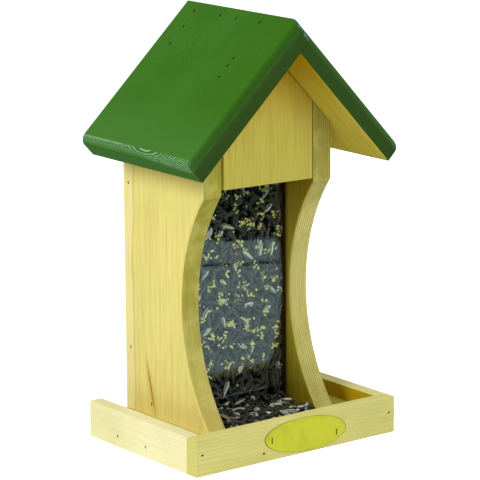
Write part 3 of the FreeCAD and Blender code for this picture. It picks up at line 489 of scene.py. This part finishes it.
# pale chips where the left board's end shows at the front of the ridge, partly worn paint and partly a
# painted glint on that corner, and a painted highlight along the right board's front arris
paintWearAndGlints = {
    "roof_left_board": {"colour": "#83ABA4", "span": (0.54, 0.66), "share": 1,
                        "limitsMm": {"X": (17, 14), "Y": (-60, -62), "Z": (12, 13.5)}},
    "roof_right_board": {"colour": "#A3C4B2", "span": (0.35, 0.6), "share": 0.4,
                         "limitsMm": {"Y": (-62.5, -64.5), "X": (16.6, 18.1)}},
}
flakeMm = 2.0


def wornPaintAndGlints(tree, nodeName, place, parts, paint):
    wear = paintWearAndGlints[nodeName]
    flakes = addNode(tree, "ShaderNodeTexNoise", {
        "Vector": place, "Scale": 1 / (flakeMm * mm), "Detail": 2}).outputs[0]
    limits = [(flakes, wear["span"])]
    limits += [(parts[axis], inMetres(spanMm)) for axis, spanMm in wear["limitsMm"].items()]
    return layTone(tree, paint, wear["colour"], wear["share"], limits)


underside = {"pale": "#D7C64F", "dark": "#AF922A", "ringMm": 3.6, "ridge": "#E2C860", "ridgeMm": (-70, -15),
             "paintFromMm": 0.65, "raggedMm": 0.5, "wrapFromMm": -127.2, "wrapRaggedMm": 1.2,
             "pastRidgeMm": 0.5}


# The paint ends unevenly near the underside and wraps a little way round the lower arris of the eave.
def paintedArea(tree, parts, grit):
    edge = addNode(tree, "ShaderNodeMath", {0: grit, 1: underside["raggedMm"] * mm, 2: parts["X"]},
                   operation="MULTIPLY_ADD").outputs[0]
    wrap = addNode(tree, "ShaderNodeMath", {0: grit, 1: underside["wrapRaggedMm"] * mm, 2: parts["Z"]},
                   operation="MULTIPLY_ADD").outputs[0]
    painted = addNode(tree, "ShaderNodeMath", {0: edge, 1: underside["paintFromMm"] * mm},
                      operation="GREATER_THAN").outputs[0]
    wrapped = addNode(tree, "ShaderNodeMath", {0: wrap, 1: underside["wrapFromMm"] * mm},
                      operation="LESS_THAN").outputs[0]
    pastRidge = addNode(tree, "ShaderNodeMath", {0: parts["Z"], 1: underside["pastRidgeMm"] * mm},
                        operation="GREATER_THAN").outputs[0]
    for covered in (wrapped, pastRidge):
        painted = addNode(tree, "ShaderNodeMath", {0: painted, 1: covered}, operation="MAXIMUM").outputs[0]
    return painted


# Satin alkyd paint brushed on planed pine: faint brush lines down the slope, rough and specked at the back,
# and rubbed pale over the end grain along the eave.
def paintedBoard(nodeName, board):
    material, tree, shader = newMaterial(f"green paint on pine {nodeName}",
                                         Specular_IOR_Level=roofFinish["specular"])
    coords = addNode(tree, "ShaderNodeTexCoord", {}).outputs["Object"]
    # own frame of the board: X out of its underside, Z up the slope from the apex
    place = addNode(tree, "ShaderNodeMapping", {
        "Vector": coords, "Location": inMetres(roofLay["apexMm"]),
        "Rotation": grainTurns[board["grain"]], "Scale": (board["outward"], 1, 1)},
        vector_type="TEXTURE").outputs[0]
    parts = addNode(tree, "ShaderNodeSeparateXYZ", {"Vector": place}).outputs
    brushLay = addNode(tree, "ShaderNodeMapping", {
        "Vector": place, "Scale": roofFinish["brushStretch"]}).outputs[0]
    brush = addNode(tree, "ShaderNodeTexNoise", {
        "Vector": brushLay, "Scale": 1 / (roofFinish["brushMm"] * mm),
        "Detail": 3, "Roughness": 0.6}).outputs[0]
    grit = addNode(tree, "ShaderNodeTexNoise", {
        "Vector": place, "Scale": 1 / (roofFinish["gritMm"] * mm), "Detail": 3, "Roughness": 0.65}).outputs[0]
    paint = brushedPaint(tree, place, parts, brush)
    paint = roughPaint(tree, place, grit, paint)
    # the sawn end at the eave is a little darker, as end grain drinks paint, and the darkening also paints
    # the shade of this down-facing face
    atEnd = [(parts["Z"], inMetres(roofFinish["endMm"]))]
    paint = layTone(tree, paint, roofFinish["endGrain"], roofFinish["endShare"], atEnd)
    paint = rubbedEave(tree, place, parts, grit, paint)
    paint = frontEdge(tree, board, grit, paint)
    paint = wornPaintAndGlints(tree, nodeName, place, parts, paint)
    wood = pineColour(tree, {**underside, "grain": board["grain"], "pith": board["pith"]})[0]
    # darker and more orange towards the ridge: painted shade under the apex
    nearRidge = [(parts["Z"], inMetres(underside["ridgeMm"]))]
    wood = layTone(tree, wood, underside["ridge"], 1, nearRidge, "MULTIPLY")
    painted = paintedArea(tree, parts, grit)
    colour = addNode(tree, "ShaderNodeMix", {"Factor": painted, 6: wood, 7: paint},
                     data_type="RGBA").outputs[2]
    start, full = roofFinish["roughSpan"]
    smooth, dull = roofFinish["roughness"]
    coat = addNode(tree, "ShaderNodeMapRange", {
        "Value": brush, "From Min": start, "From Max": full, "To Min": smooth, "To Max": dull}).outputs[0]
    roughness = addNode(tree, "ShaderNodeMix", {
        "Factor": painted, 2: roofFinish["bareRoughness"], 3: coat}).outputs[0]
    height = addNode(tree, "ShaderNodeMath", {0: grit, 1: roofFinish["gritRelief"], 2: brush},
                     operation="MULTIPLY_ADD").outputs[0]
    relief = addNode(tree, "ShaderNodeBump", {
        "Height": height, "Distance": roofFinish["reliefMm"] * mm,
        "Strength": roofFinish["relief"]}).outputs[0]
    tree.links.new(colour, shader.inputs["Base Color"])
    tree.links.new(roughness, shader.inputs["Roughness"])
    tree.links.new(relief, shader.inputs["Normal"])
    dress(nodeName, material)


for nodeName, board in roofBoards.items():
    paintedBoard(nodeName, board)
print("paint: roof boards")

paneFinish = {"tint": "#F6FAFA", "roughness": 0.03, "refraction": 1.4, "waveMm": 28, "waveDeepMm": 0.04}


# Extruded clear acrylic sheet: glossy, colourless, with the slight waviness that bends its reflections.
def clearPane():
    tint = linear(paneFinish["tint"])
    material, tree, shader = newMaterial(
        "clear acrylic sheet", Base_Color=tint, Roughness=paneFinish["roughness"],
        IOR=paneFinish["refraction"], Transmission_Weight=1.0)
    coords = addNode(tree, "ShaderNodeTexCoord", {}).outputs["Object"]
    waves = addNode(tree, "ShaderNodeTexNoise", {
        "Vector": coords, "Scale": 1 / (paneFinish["waveMm"] * mm), "Detail": 2}).outputs[0]
    relief = addNode(tree, "ShaderNodeBump", {
        "Height": waves, "Distance": paneFinish["waveDeepMm"] * mm, "Strength": 1.0}).outputs[0]
    tree.links.new(relief, shader.inputs["Normal"])
    # lamps shine through to the seed
    lamp = addNode(tree, "ShaderNodeLightPath", {}).outputs["Is Shadow Ray"]
    clear = addNode(tree, "ShaderNodeBsdfTransparent", {"Color": tint}).outputs[0]
    mixed = addNode(tree, "ShaderNodeMixShader", {0: lamp, 1: shader.outputs[0], 2: clear}).outputs[0]
    tree.links.new(mixed, tree.nodes["Material Output"].inputs["Surface"])
    dress("window_pane", material)


clearPane()

plateFinish = {"lacquer": "#D6D834", "shade": "#B6B920", "shadeSpan": (0.45, 0.7), "shadeShare": 0.6,
               "rim": "#7C7A1C", "rimSpan": (0.975, 0.995), "rimShare": 0.85,
               "middleMm": (7.7, 0, 15.6), "halfMm": (41, 1, 13.8), "tilt": 2.5,
               "dentMm": 16, "dentDeepMm": 0.5, "dent": 0.5, "roughness": 0.35, "specular": 0.2}


# Yellow-green lacquer on thin tinplate: glossy, a little dented, and darker in a thin ring just inside its
# edge.
def lacquerPlate():
    material, tree, shader = newMaterial("yellow lacquer on tinplate", Roughness=plateFinish["roughness"],
                                         Specular_IOR_Level=plateFinish["specular"])
    coords = addNode(tree, "ShaderNodeTexCoord", {}).outputs["Object"]
    reach = ovalReach(tree, coords, plateFinish["middleMm"], (0, math.radians(plateFinish["tilt"]), 0),
                      plateFinish["halfMm"], (1, 0, 1))
    dents = addNode(tree, "ShaderNodeTexNoise", {
        "Vector": coords, "Scale": 1 / (plateFinish["dentMm"] * mm), "Detail": 2}).outputs[0]
    colour = linear(plateFinish["lacquer"])
    for tone, value in (("shade", dents), ("rim", reach)):
        limits = [(value, plateFinish[tone + "Span"])]
        colour = layTone(tree, colour, plateFinish[tone], plateFinish[tone + "Share"], limits)
    relief = addNode(tree, "ShaderNodeBump", {
        "Height": dents, "Distance": plateFinish["dentDeepMm"] * mm,
        "Strength": plateFinish["dent"]}).outputs[0]
    tree.links.new(colour, shader.inputs["Base Color"])
    tree.links.new(relief, shader.inputs["Normal"])
    dress("name_plate", material)


lacquerPlate()

steelFinishes = {
    "zinc plated steel": {"colour": "#B9BCBD", "dull": "#8E9192", "roughness": (0.28, 0.45),
                          "nodes": ["hanger_plate", "hanger_screws", "floor_screws"]},
    "weathered brad steel": {"colour": "#5A564E", "dull": "#3A342C", "roughness": (0.45, 0.7),
                             "nodes": ["ridge_nails", "front_gable_nails", "rear_cleat_nails",
                                       "back_board_nails", "ramp_nails", "tray_corner_nails",
                                       "tray_floor_nails"]},
    "rusted staple wire": {"colour": "#8B7B3C", "dull": "#4E3F1C", "roughness": (0.45, 0.7),
                           "nodes": ["plate_staples"]},
}
spangleLay = {"grainMm": 3, "span": (0.35, 0.65)}


# Steel wire and sheet: bright and spangled where it is plated, dull and brown on the sunk brads.
def steelPieces(name, finish):
    material, tree, shader = newMaterial(name, Metallic=1.0)
    coords = addNode(tree, "ShaderNodeTexCoord", {}).outputs["Object"]
    spangle = addNode(tree, "ShaderNodeTexNoise", {
        "Vector": coords, "Scale": 1 / (spangleLay["grainMm"] * mm), "Detail": 3}).outputs[0]
    start, full = spangleLay["span"]
    low, high = finish["roughness"]
    roughness = addNode(tree, "ShaderNodeMapRange", {
        "Value": spangle, "From Min": start, "From Max": full, "To Min": low, "To Max": high}).outputs[0]
    colour = layTone(tree, linear(finish["colour"]), finish["dull"], spangle)
    tree.links.new(colour, shader.inputs["Base Color"])
    tree.links.new(roughness, shader.inputs["Roughness"])
    for nodeName in finish["nodes"]:
        dress(nodeName, material)


for name, finish in steelFinishes.items():
    steelPieces(name, finish)
print("pane, plate and steel")

# sizes of one seed in mm, how far it narrows to its point, and how its hull is marked
seedKinds = {
    "black": {"sizeMm": (5.2, 3.4, 10.6), "point": 0.42, "sides": 8, "rings": 6, "stripes": 0.08},
    "striped": {"sizeMm": (5.8, 3.6, 12.4), "point": 0.46, "sides": 8, "rings": 6, "stripes": 0.85},
    "hulled": {"sizeMm": (5.0, 2.9, 10.6), "point": 0.3, "sides": 8, "rings": 6, "stripes": 1.0,
               "flat": 0.35},
    "millet": {"sizeMm": (2.1, 2.0, 2.3), "point": 0.1, "sides": 6, "rings": 4, "stripes": 0.0},
}


# A seed stands on its point along Z, broad across X and flat across Y.
def seedShape(kind):
    bm = bmesh.new()
    bmesh.ops.create_uvsphere(bm, u_segments=kind["sides"], v_segments=kind["rings"], radius=0.5)
    for height in sorted({round(vert.co.z, 4) for vert in bm.verts}):
        ring = [vert for vert in bm.verts if round(vert.co.z, 4) == height]
        narrow = 1 - kind["point"] * (height + 0.5)
        bmesh.ops.scale(bm, vec=(narrow, narrow, 1), verts=ring)
    bmesh.ops.scale(bm, vec=inMetres(kind["sizeMm"]), verts=bm.verts)
    mesh = bpy.data.meshes.new("seed")
    bm.to_mesh(mesh)
    bm.free()
    return mesh


seedShapes = {name: seedShape(kind) for name, kind in seedKinds.items()}


# Pale stripes run from end to end, so a vertex is marked by its turn about the long axis.
def hullMarks(name):
    kind = seedKinds[name]
    broad, thick = kind["sizeMm"][:2]
    marks = []
    for vert in seedShapes[name].vertices:
        angle = math.atan2(vert.co.y / thick, vert.co.x / broad)
        if "flat" in kind:    # pale at its rim and darker on its flat
            marks.append(kind["stripes"] * (kind["flat"] + (1 - kind["flat"]) * abs(math.cos(angle))))
        else:
            marks.append(kind["stripes"] if round(angle * kind["sides"] / math.tau) % 2 == 0 else 0.0)
    return marks


# Puts seeds at their places in one mesh, with each hull's marks and own tint kept as attributes.
def seedPiece(name, places, material, core=None):
    bm = bmesh.new()
    marks, tints = [], []
    if core is not None:
        bm.from_mesh(core)
        marks += [0.0] * len(core.vertices)
        tints += [0.0] * len(core.vertices)
    hulls = {kind: hullMarks(kind) for kind in seedKinds}
    for kind, place, tint in places:
        seed = seedShapes[kind].copy()
        seed.transform(place)
        bm.from_mesh(seed)
        bpy.data.meshes.remove(seed)
        marks += hulls[kind]
        tints += [tint] * len(hulls[kind])
    for face in bm.faces:
        face.smooth = True
    mesh = bpy.data.meshes.new(name)
    bm.to_mesh(mesh)
    bm.free()
    for layer, values in (("pale", marks), ("tint", tints)):
        mesh.attributes.new(layer, "FLOAT", "POINT").data.foreach_set("value", values)
    mesh.materials.append(material)
    piece = bpy.data.objects.new(name, mesh)
    scene.collection.objects.link(piece)
    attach(piece, "feeder")
    return piece


seedFinish = {"hull": "#040506", "brown": "#35352B", "stripe": "#D6DAC8", "tan": "#CDCFA2",
              "millet": "#D0D478", "ripe": "#A87E34"}


# Dry sunflower hulls: near black and waxy, with chalky stripes on some and bare tan kernels among them.
def sunflowerHull():
    material, tree, shader = newMaterial("sunflower seed hulls", Roughness=0.42, Specular_IOR_Level=0.08)
    pale = addNode(tree, "ShaderNodeAttribute", {}, attribute_name="pale").outputs["Fac"]
    tint = addNode(tree, "ShaderNodeAttribute", {}, attribute_name="tint").outputs["Fac"]
    dark = layTone(tree, linear(seedFinish["hull"]), seedFinish["brown"], tint)
    light = layTone(tree, linear(seedFinish["stripe"]), seedFinish["tan"], tint)
    colour = addNode(tree, "ShaderNodeMix", {"Factor": pale, 6: dark, 7: light}, data_type="RGBA").outputs[2]
    tree.links.new(colour, shader.inputs["Base Color"])
    return material


# Millet: small round yellow grains with a silky husk, some riper and more orange.
def milletHusk():
    material, tree, shader = newMaterial("millet grains", Roughness=0.45, Specular_IOR_Level=0.25)
    tint = addNode(tree, "ShaderNodeAttribute", {}, attribute_name="tint").outputs["Fac"]
    colour = layTone(tree, linear(seedFinish["millet"]), seedFinish["ripe"], tint)
    tree.links.new(colour, shader.inputs["Base Color"])
    return material


hullMaterial = sunflowerHull()
milletMaterial = milletHusk()


def pickKind(draw, look, paleness=1.0):
    share = draw.random() / paleness
    if share < look["stripedShare"]:
        return "striped"
    if share < look["stripedShare"] + look["hulledShare"]:
        return "hulled"
    return "black"


rowSpacing = 0.87


# Uneven rows of spots that fill a rectangle; the rows lie closer than the spots in them.
def rowsOfSpots(draw, low, high, pitch, jitter):
    spots = []
    rows = int((high[1] - low[1]) / (pitch * rowSpacing)) + 1
    columns = int((high[0] - low[0]) / pitch) + 1
    for row in range(rows):
        for column in range(columns):
            across = low[0] + (column + 0.5 * (row % 2)) * pitch + draw.uniform(-jitter, jitter) * pitch
            up = low[1] + row * pitch * rowSpacing + draw.uniform(-jitter, jitter) * pitch
            if low[0] <= across <= high[0] and low[1] <= up <= high[1]:
                spots.append((across, up))
    return spots


def turnedAt(turns, at):
    return Matrix.Translation(at) @ Euler(turns).to_matrix().to_4x4()


# Turns of a seed that lies on its flat, any way round.
def lyingTurns(draw, lean):
    return math.radians(90) + draw.gauss(0, lean[0]), draw.gauss(0, lean[1]), draw.uniform(0, math.tau)


hopperSeed = {"randomStart": 11, "pitchMm": 6.4, "jitter": 0.42, "sideMm": 2.7, "endMm": 4.6,
              "layers": 2, "layerMm": 3.2, "deepMm": 2.4, "looseMm": 0.8, "lean": (0.16, 0.2),
              "stripedShare": 0.075, "hulledShare": 0.025, "shadeMm": (56, 84), "shadeShare": 0.3}


# Seeds lower in the hopper are darker and fewer of them are pale: painted shade towards the bottom of the
# pane.
def lowShade(z):
    low, high = hopperSeed["shadeMm"]
    rise = min(max((z / mm - low) / (high - low), 0), 1)
    return hopperSeed["shadeShare"] + (1 - hopperSeed["shadeShare"]) * rise


def shadedSeed(draw, place):
    paleness = lowShade(place.translation.z)
    return pickKind(draw, hopperSeed, paleness), place, draw.random() ** 2 * paleness


cheekSeed = {"nearMm": 5.8, "upright": 0.22, "pitchMm": 6.5, "asideMm": 2.8, "deepMm": (1.8, 4.0),
             "lean": (0.1, 0.3)}


# Seeds behind the pane lie any way round; those against the cheeks stand upright.
def paneSeeds(draw, low, high):
    places = []
    side, end = inMetres((hopperSeed["sideMm"], hopperSeed["endMm"]))
    for layer in range(hopperSeed["layers"]):
        deep = low.y + (hopperSeed["deepMm"] + layer * hopperSeed["layerMm"]) * mm
        for x, z in rowsOfSpots(draw, (low.x + side, low.z + end), (high.x - side, high.z - end),
                                hopperSeed["pitchMm"] * mm, hopperSeed["jitter"]):
            nearCheek = min(x - low.x, high.x - x) < cheekSeed["nearMm"] * mm
            swing = draw.gauss(0, cheekSeed["upright"]) if nearCheek else draw.uniform(0, math.tau)
            turns = (draw.gauss(0, hopperSeed["lean"][0]), swing, draw.gauss(0, hopperSeed["lean"][1]))
            place = turnedAt(turns, (x, deep + draw.uniform(0, hopperSeed["looseMm"]) * mm, z))
            places.append(shadedSeed(draw, place))
    return places


# A row up each cheek, so no gap shows there.
def cheekRows(draw, low, high):
    places = []
    rise = cheekSeed["pitchMm"] * mm
    for x in (low.x + cheekSeed["asideMm"] * mm, high.x - cheekSeed["asideMm"] * mm):
        for step in range(1, int((high.z - low.z) / rise)):
            turns = (draw.gauss(0, cheekSeed["lean"][0]), draw.gauss(0, cheekSeed["upright"]),
                     draw.gauss(0, cheekSeed["lean"][1]))
            deep = low.y + cheekSeed["deepMm"][step % 2] * mm
            places.append(shadedSeed(draw, turnedAt(turns, (x, deep, low.z + step * rise))))
    return places


topSeed = {"frontMm": 10, "rearMm": 6, "downMm": 2.6, "lean": (0.2, 0.25)}


# Seeds lying on top of the filling.
def topSeeds(draw, low, high):
    places = []
    side = hopperSeed["sideMm"] * mm
    for layer in range(hopperSeed["layers"]):
        up = high.z - (topSeed["downMm"] + layer * hopperSeed["layerMm"]) * mm
        for x, y in rowsOfSpots(draw, (low.x + side, low.y + topSeed["frontMm"] * mm),
                                (high.x - side, high.y - topSeed["rearMm"] * mm),
                                hopperSeed["pitchMm"] * mm, hopperSeed["jitter"]):
            place = turnedAt(lyingTurns(draw, topSeed["lean"]), (x, y, up))
            places.append((pickKind(draw, hopperSeed), place, draw.random()))
    return places


coreLay = {"insideMm": (1, 4.6, 1.5), "outsideMm": (1, 1.5, 7), "cuts": 14, "lumpMm": 0.9}


# Dark lumpy filling behind the outer seeds.
def seedCore(draw, low, high):
    low, high = low + Vector(inMetres(coreLay["insideMm"])), high - Vector(inMetres(coreLay["outsideMm"]))
    bm = bmesh.new()
    bmesh.ops.create_cube(bm, size=1)
    bmesh.ops.scale(bm, vec=high - low, verts=bm.verts)
    bmesh.ops.translate(bm, vec=(low + high) / 2, verts=bm.verts)
    bmesh.ops.subdivide_edges(bm, edges=bm.edges[:], cuts=coreLay["cuts"], use_grid_fill=True)
    for vert in bm.verts:
        vert.co += Vector([draw.uniform(-1, 1) * coreLay["lumpMm"] * mm for axis in range(3)])
    mesh = bpy.data.meshes.new("seed core")
    bm.to_mesh(mesh)
    bm.free()
    return mesh


milletLay = {"pitchMm": 13.6, "jitter": 0.5, "sideMm": 3, "topMm": 5, "floorMm": 32, "clusterMm": 1.8,
             "grains": (4, 10), "singles": 40, "singleFloorMm": 20, "clearMm": (1.2, 6, 1.5),
             "deepMm": 1.1, "looseMm": 0.9, "scale": (0.72, 1.08), "ripeness": 2.2}


# Millet has run down between the seeds and the pane, most of it in clusters.
def milletGrains(draw, low, high):
    grains = []
    side = milletLay["sideMm"] * mm
    for x, z in rowsOfSpots(draw, (low.x + side, low.z + milletLay["floorMm"] * mm),
                            (high.x - side, high.z - milletLay["topMm"] * mm),
                            milletLay["pitchMm"] * mm, milletLay["jitter"]):
        for grain in range(draw.randint(*milletLay["grains"])):
            spread = Vector((draw.gauss(0, 1), draw.gauss(0, 1))) * milletLay["clusterMm"] * mm
            grains.append(Vector((x, z)) + spread)
    for single in range(milletLay["singles"]):
        grains.append(Vector((draw.uniform(low.x, high.x),
                              draw.uniform(low.z + milletLay["singleFloorMm"] * mm, high.z))))
    aside, floor, top = inMetres(milletLay["clearMm"])
    places = []
    for spot in grains:
        x = min(max(spot.x, low.x + aside), high.x - aside)
        z = min(max(spot.y, low.z + floor), high.z - top)
        turns = [draw.uniform(0, math.tau) for axis in range(3)]
        size = Matrix.Scale(draw.uniform(*milletLay["scale"]), 4)
        deep = low.y + (milletLay["deepMm"] + draw.uniform(0, milletLay["looseMm"])) * mm
        place = turnedAt(turns, (x, deep, z)) @ size
        places.append(("millet", place, draw.random() ** milletLay["ripeness"]))
    return places


def fillHopper():
    draw = random.Random(hopperSeed["randomStart"])
    low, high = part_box("seed_fill")
    places = paneSeeds(draw, low, high) + cheekRows(draw, low, high) + topSeeds(draw, low, high)
    seeds = seedPiece("hopperSunflower", places, hullMaterial, seedCore(draw, low, high))
    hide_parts("seed_fill")
    grains = milletGrains(draw, low, high)
    seedPiece("hopperMillet", grains, milletMaterial)
    return len(grains)


traySeed = {"randomStart": 29, "pitchMm": 6.2, "jitter": 0.42, "edgeMm": 4.6, "rearMm": 2,
            "layers": 3, "layerMm": 3.0, "bottomMm": 2.6, "topMm": 2.6, "fallMm": 5,
            "looseMm": 0.5, "lean": (0.3, 0.35),
            "stripedShare": 0.13, "hulledShare": 0.1, "tint": 0.4}


# The heap falls from the pane to the front rail.
def heapTray():
    draw = random.Random(traySeed["randomStart"])
    low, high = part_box("tray_seed")
    places = []
    edge, rear, loose = inMetres((traySeed["edgeMm"], traySeed["rearMm"], traySeed["looseMm"]))
    for layer in range(traySeed["layers"]):
        up = low.z + (traySeed["bottomMm"] + layer * traySeed["layerMm"]) * mm
        for x, y in rowsOfSpots(draw, (low.x + edge, low.y + edge), (high.x - edge, high.y + rear),
                                traySeed["pitchMm"] * mm, traySeed["jitter"]):
            forward = 1 - (y - low.y) / (high.y - low.y)
            if up > high.z - (traySeed["fallMm"] * forward + traySeed["topMm"]) * mm:
                continue
            place = turnedAt(lyingTurns(draw, traySeed["lean"]), (x, y, up + draw.uniform(-loose, loose)))
            places.append((pickKind(draw, traySeed), place, draw.random() ** 2 * traySeed["tint"]))
    seeds = seedPiece("traySunflower", places, hullMaterial)
    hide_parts("tray_seed")
    return len(places)


print("hopper: millet grains", fillHopper())
print("tray: seeds", heapTray())
for shape in seedShapes.values():
    bpy.data.meshes.remove(shape)

# studio: pale floor, soft key from the left, white surround; watts and metres
lamps = {
    "key": {"at": (-1.9, 0.1, 1.35), "power": 36.5, "size": 1.0},
    "fill": {"at": (0.1, -1.9, 1.5), "power": 28, "size": 2.0},
    "side": {"at": (1.9, -0.5, 0.7), "power": 6, "size": 1.2},
}
studio = {"aim": (0, 0, 0.15), "white": "#FFFFFF", "ambient": 0.12, "floorHalf": 30, "floorColour": "#F2F2F0",
          "floorLift": 0.9, "mirrorTint": "#7ECAD8", "flagColour": "#0B0C0C"}
# flags of black felt, seen only as reflections, in metres along Y: they end the bright floor in the pane
flags = {"farFlag": (-1.4, -0.551), "seamFlag": (-0.437, -0.422)}
flagLay = {"fromX": -0.4, "toX": 1.6, "middleX": 0.43, "skew": 0.55, "z": 0.002}


def areaLight(name, at, power, size):
    lamp = bpy.data.lights.new(name, "AREA")
    lamp.energy = power
    lamp.shape = "DISK"
    lamp.size = size
    light = bpy.data.objects.new(name, lamp)
    light.location = at
    light.rotation_euler = (Vector(studio["aim"]) - Vector(at)).to_track_quat("-Z", "Y").to_euler()
    scene.collection.objects.link(light)


# Rays that show the surround as a mirror image or through the pane.
def mirroredRays(tree):
    path = addNode(tree, "ShaderNodeLightPath", {}).outputs
    return addNode(tree, "ShaderNodeMath", {0: path["Is Glossy Ray"], 1: path["Is Transmission Ray"]},
                   operation="MAXIMUM").outputs[0]


# Rays that show the surround in any way, so that it doesn't light the feeder as brightly as it looks.
def seenRays(tree):
    straight = addNode(tree, "ShaderNodeLightPath", {}).outputs["Is Camera Ray"]
    return addNode(tree, "ShaderNodeMath", {0: straight, 1: mirroredRays(tree)},
                   operation="MAXIMUM").outputs[0]


def stagePlane(name, corners, material):
    bm = bmesh.new()
    bm.faces.new([bm.verts.new(corner) for corner in corners])
    mesh = bpy.data.meshes.new(name)
    bm.to_mesh(mesh)
    bm.free()
    mesh.materials.append(material)
    plane = bpy.data.objects.new(name, mesh)
    scene.collection.objects.link(plane)
    return plane


def setSurround():
    world = bpy.data.worlds.new("white studio")
    world.use_nodes = True
    tree = world.node_tree
    background = tree.nodes["Background"]
    background.inputs["Color"].default_value = linear(studio["white"])
    strength = addNode(tree, "ShaderNodeMapRange", {
        "Value": seenRays(tree), "To Min": studio["ambient"], "To Max": 1.0}).outputs[0]
    tree.links.new(strength, background.inputs["Strength"])
    scene.world = world


def layFloor():
    paper, tree, shader = newMaterial("white paper floor", Roughness=0.9,
                                      Base_Color=linear(studio["floorColour"]))
    lift = addNode(tree, "ShaderNodeMath", {0: seenRays(tree), 1: studio["floorLift"]},
                   operation="MULTIPLY").outputs[0]
    tint = layTone(tree, linear(studio["white"]), studio["mirrorTint"], mirroredRays(tree))
    glow = addNode(tree, "ShaderNodeEmission", {"Color": tint, "Strength": lift}).outputs[0]
    both = addNode(tree, "ShaderNodeAddShader", {0: shader.outputs[0], 1: glow}).outputs[0]
    tree.links.new(both, tree.nodes["Material Output"].inputs["Surface"])
    half = studio["floorHalf"]
    stagePlane("floor", [(-half, -half, 0), (half, -half, 0), (half, half, 0), (-half, half, 0)], paper)


def layFlags():
    felt = newMaterial("black felt", Roughness=1.0, Specular_IOR_Level=0.0,
                       Base_Color=linear(studio["flagColour"]))[0]
    left, right = flagLay["fromX"], flagLay["toX"]
    for name, (front, rear) in flags.items():
        corners = [(x, y + (x - flagLay["middleX"]) * flagLay["skew"], flagLay["z"])
                   for x, y in ((left, front), (right, front), (right, rear), (left, rear))]
        flag = stagePlane(name, corners, felt)
        flag.visible_camera = False
        flag.visible_diffuse = False
        flag.visible_shadow = False


# solved from the corners of the boards: degrees, metres, and focal length in pixels of the frame
cameraLay = {"azimuth": -37.429, "elevation": 12.736, "roll": -0.361, "at": (-1.30844, -1.70742, 0.64721),
             "focalPixels": 2766.78, "framePixels": 480, "sensorMm": 36, "clipEnd": 100}


def setCamera():
    lens = bpy.data.cameras.new("camera")
    lens.sensor_width = cameraLay["sensorMm"]
    lens.lens = cameraLay["focalPixels"] * cameraLay["sensorMm"] / cameraLay["framePixels"]
    lens.clip_end = cameraLay["clipEnd"]
    camera = bpy.data.objects.new("camera", lens)
    azimuth, elevation, roll = [math.radians(cameraLay[name]) for name in ("azimuth", "elevation", "roll")]
    back = Vector((math.sin(azimuth) * math.cos(elevation), -math.cos(azimuth) * math.cos(elevation),
                   math.sin(elevation)))
    right = Vector((0, 0, 1)).cross(back).normalized()
    up = back.cross(right)
    turned = Matrix((right, up, back)).transposed() @ Matrix.Rotation(roll, 3, "Z")
    camera.matrix_world = Matrix.Translation(cameraLay["at"]) @ turned.to_4x4()
    scene.collection.objects.link(camera)
    scene.camera = camera


setSurround()
for name, lamp in lamps.items():
    areaLight(name, lamp["at"], lamp["power"], lamp["size"])
layFloor()
layFlags()
setCamera()
scene.view_settings.view_transform = "Standard"
print("studio and camera")
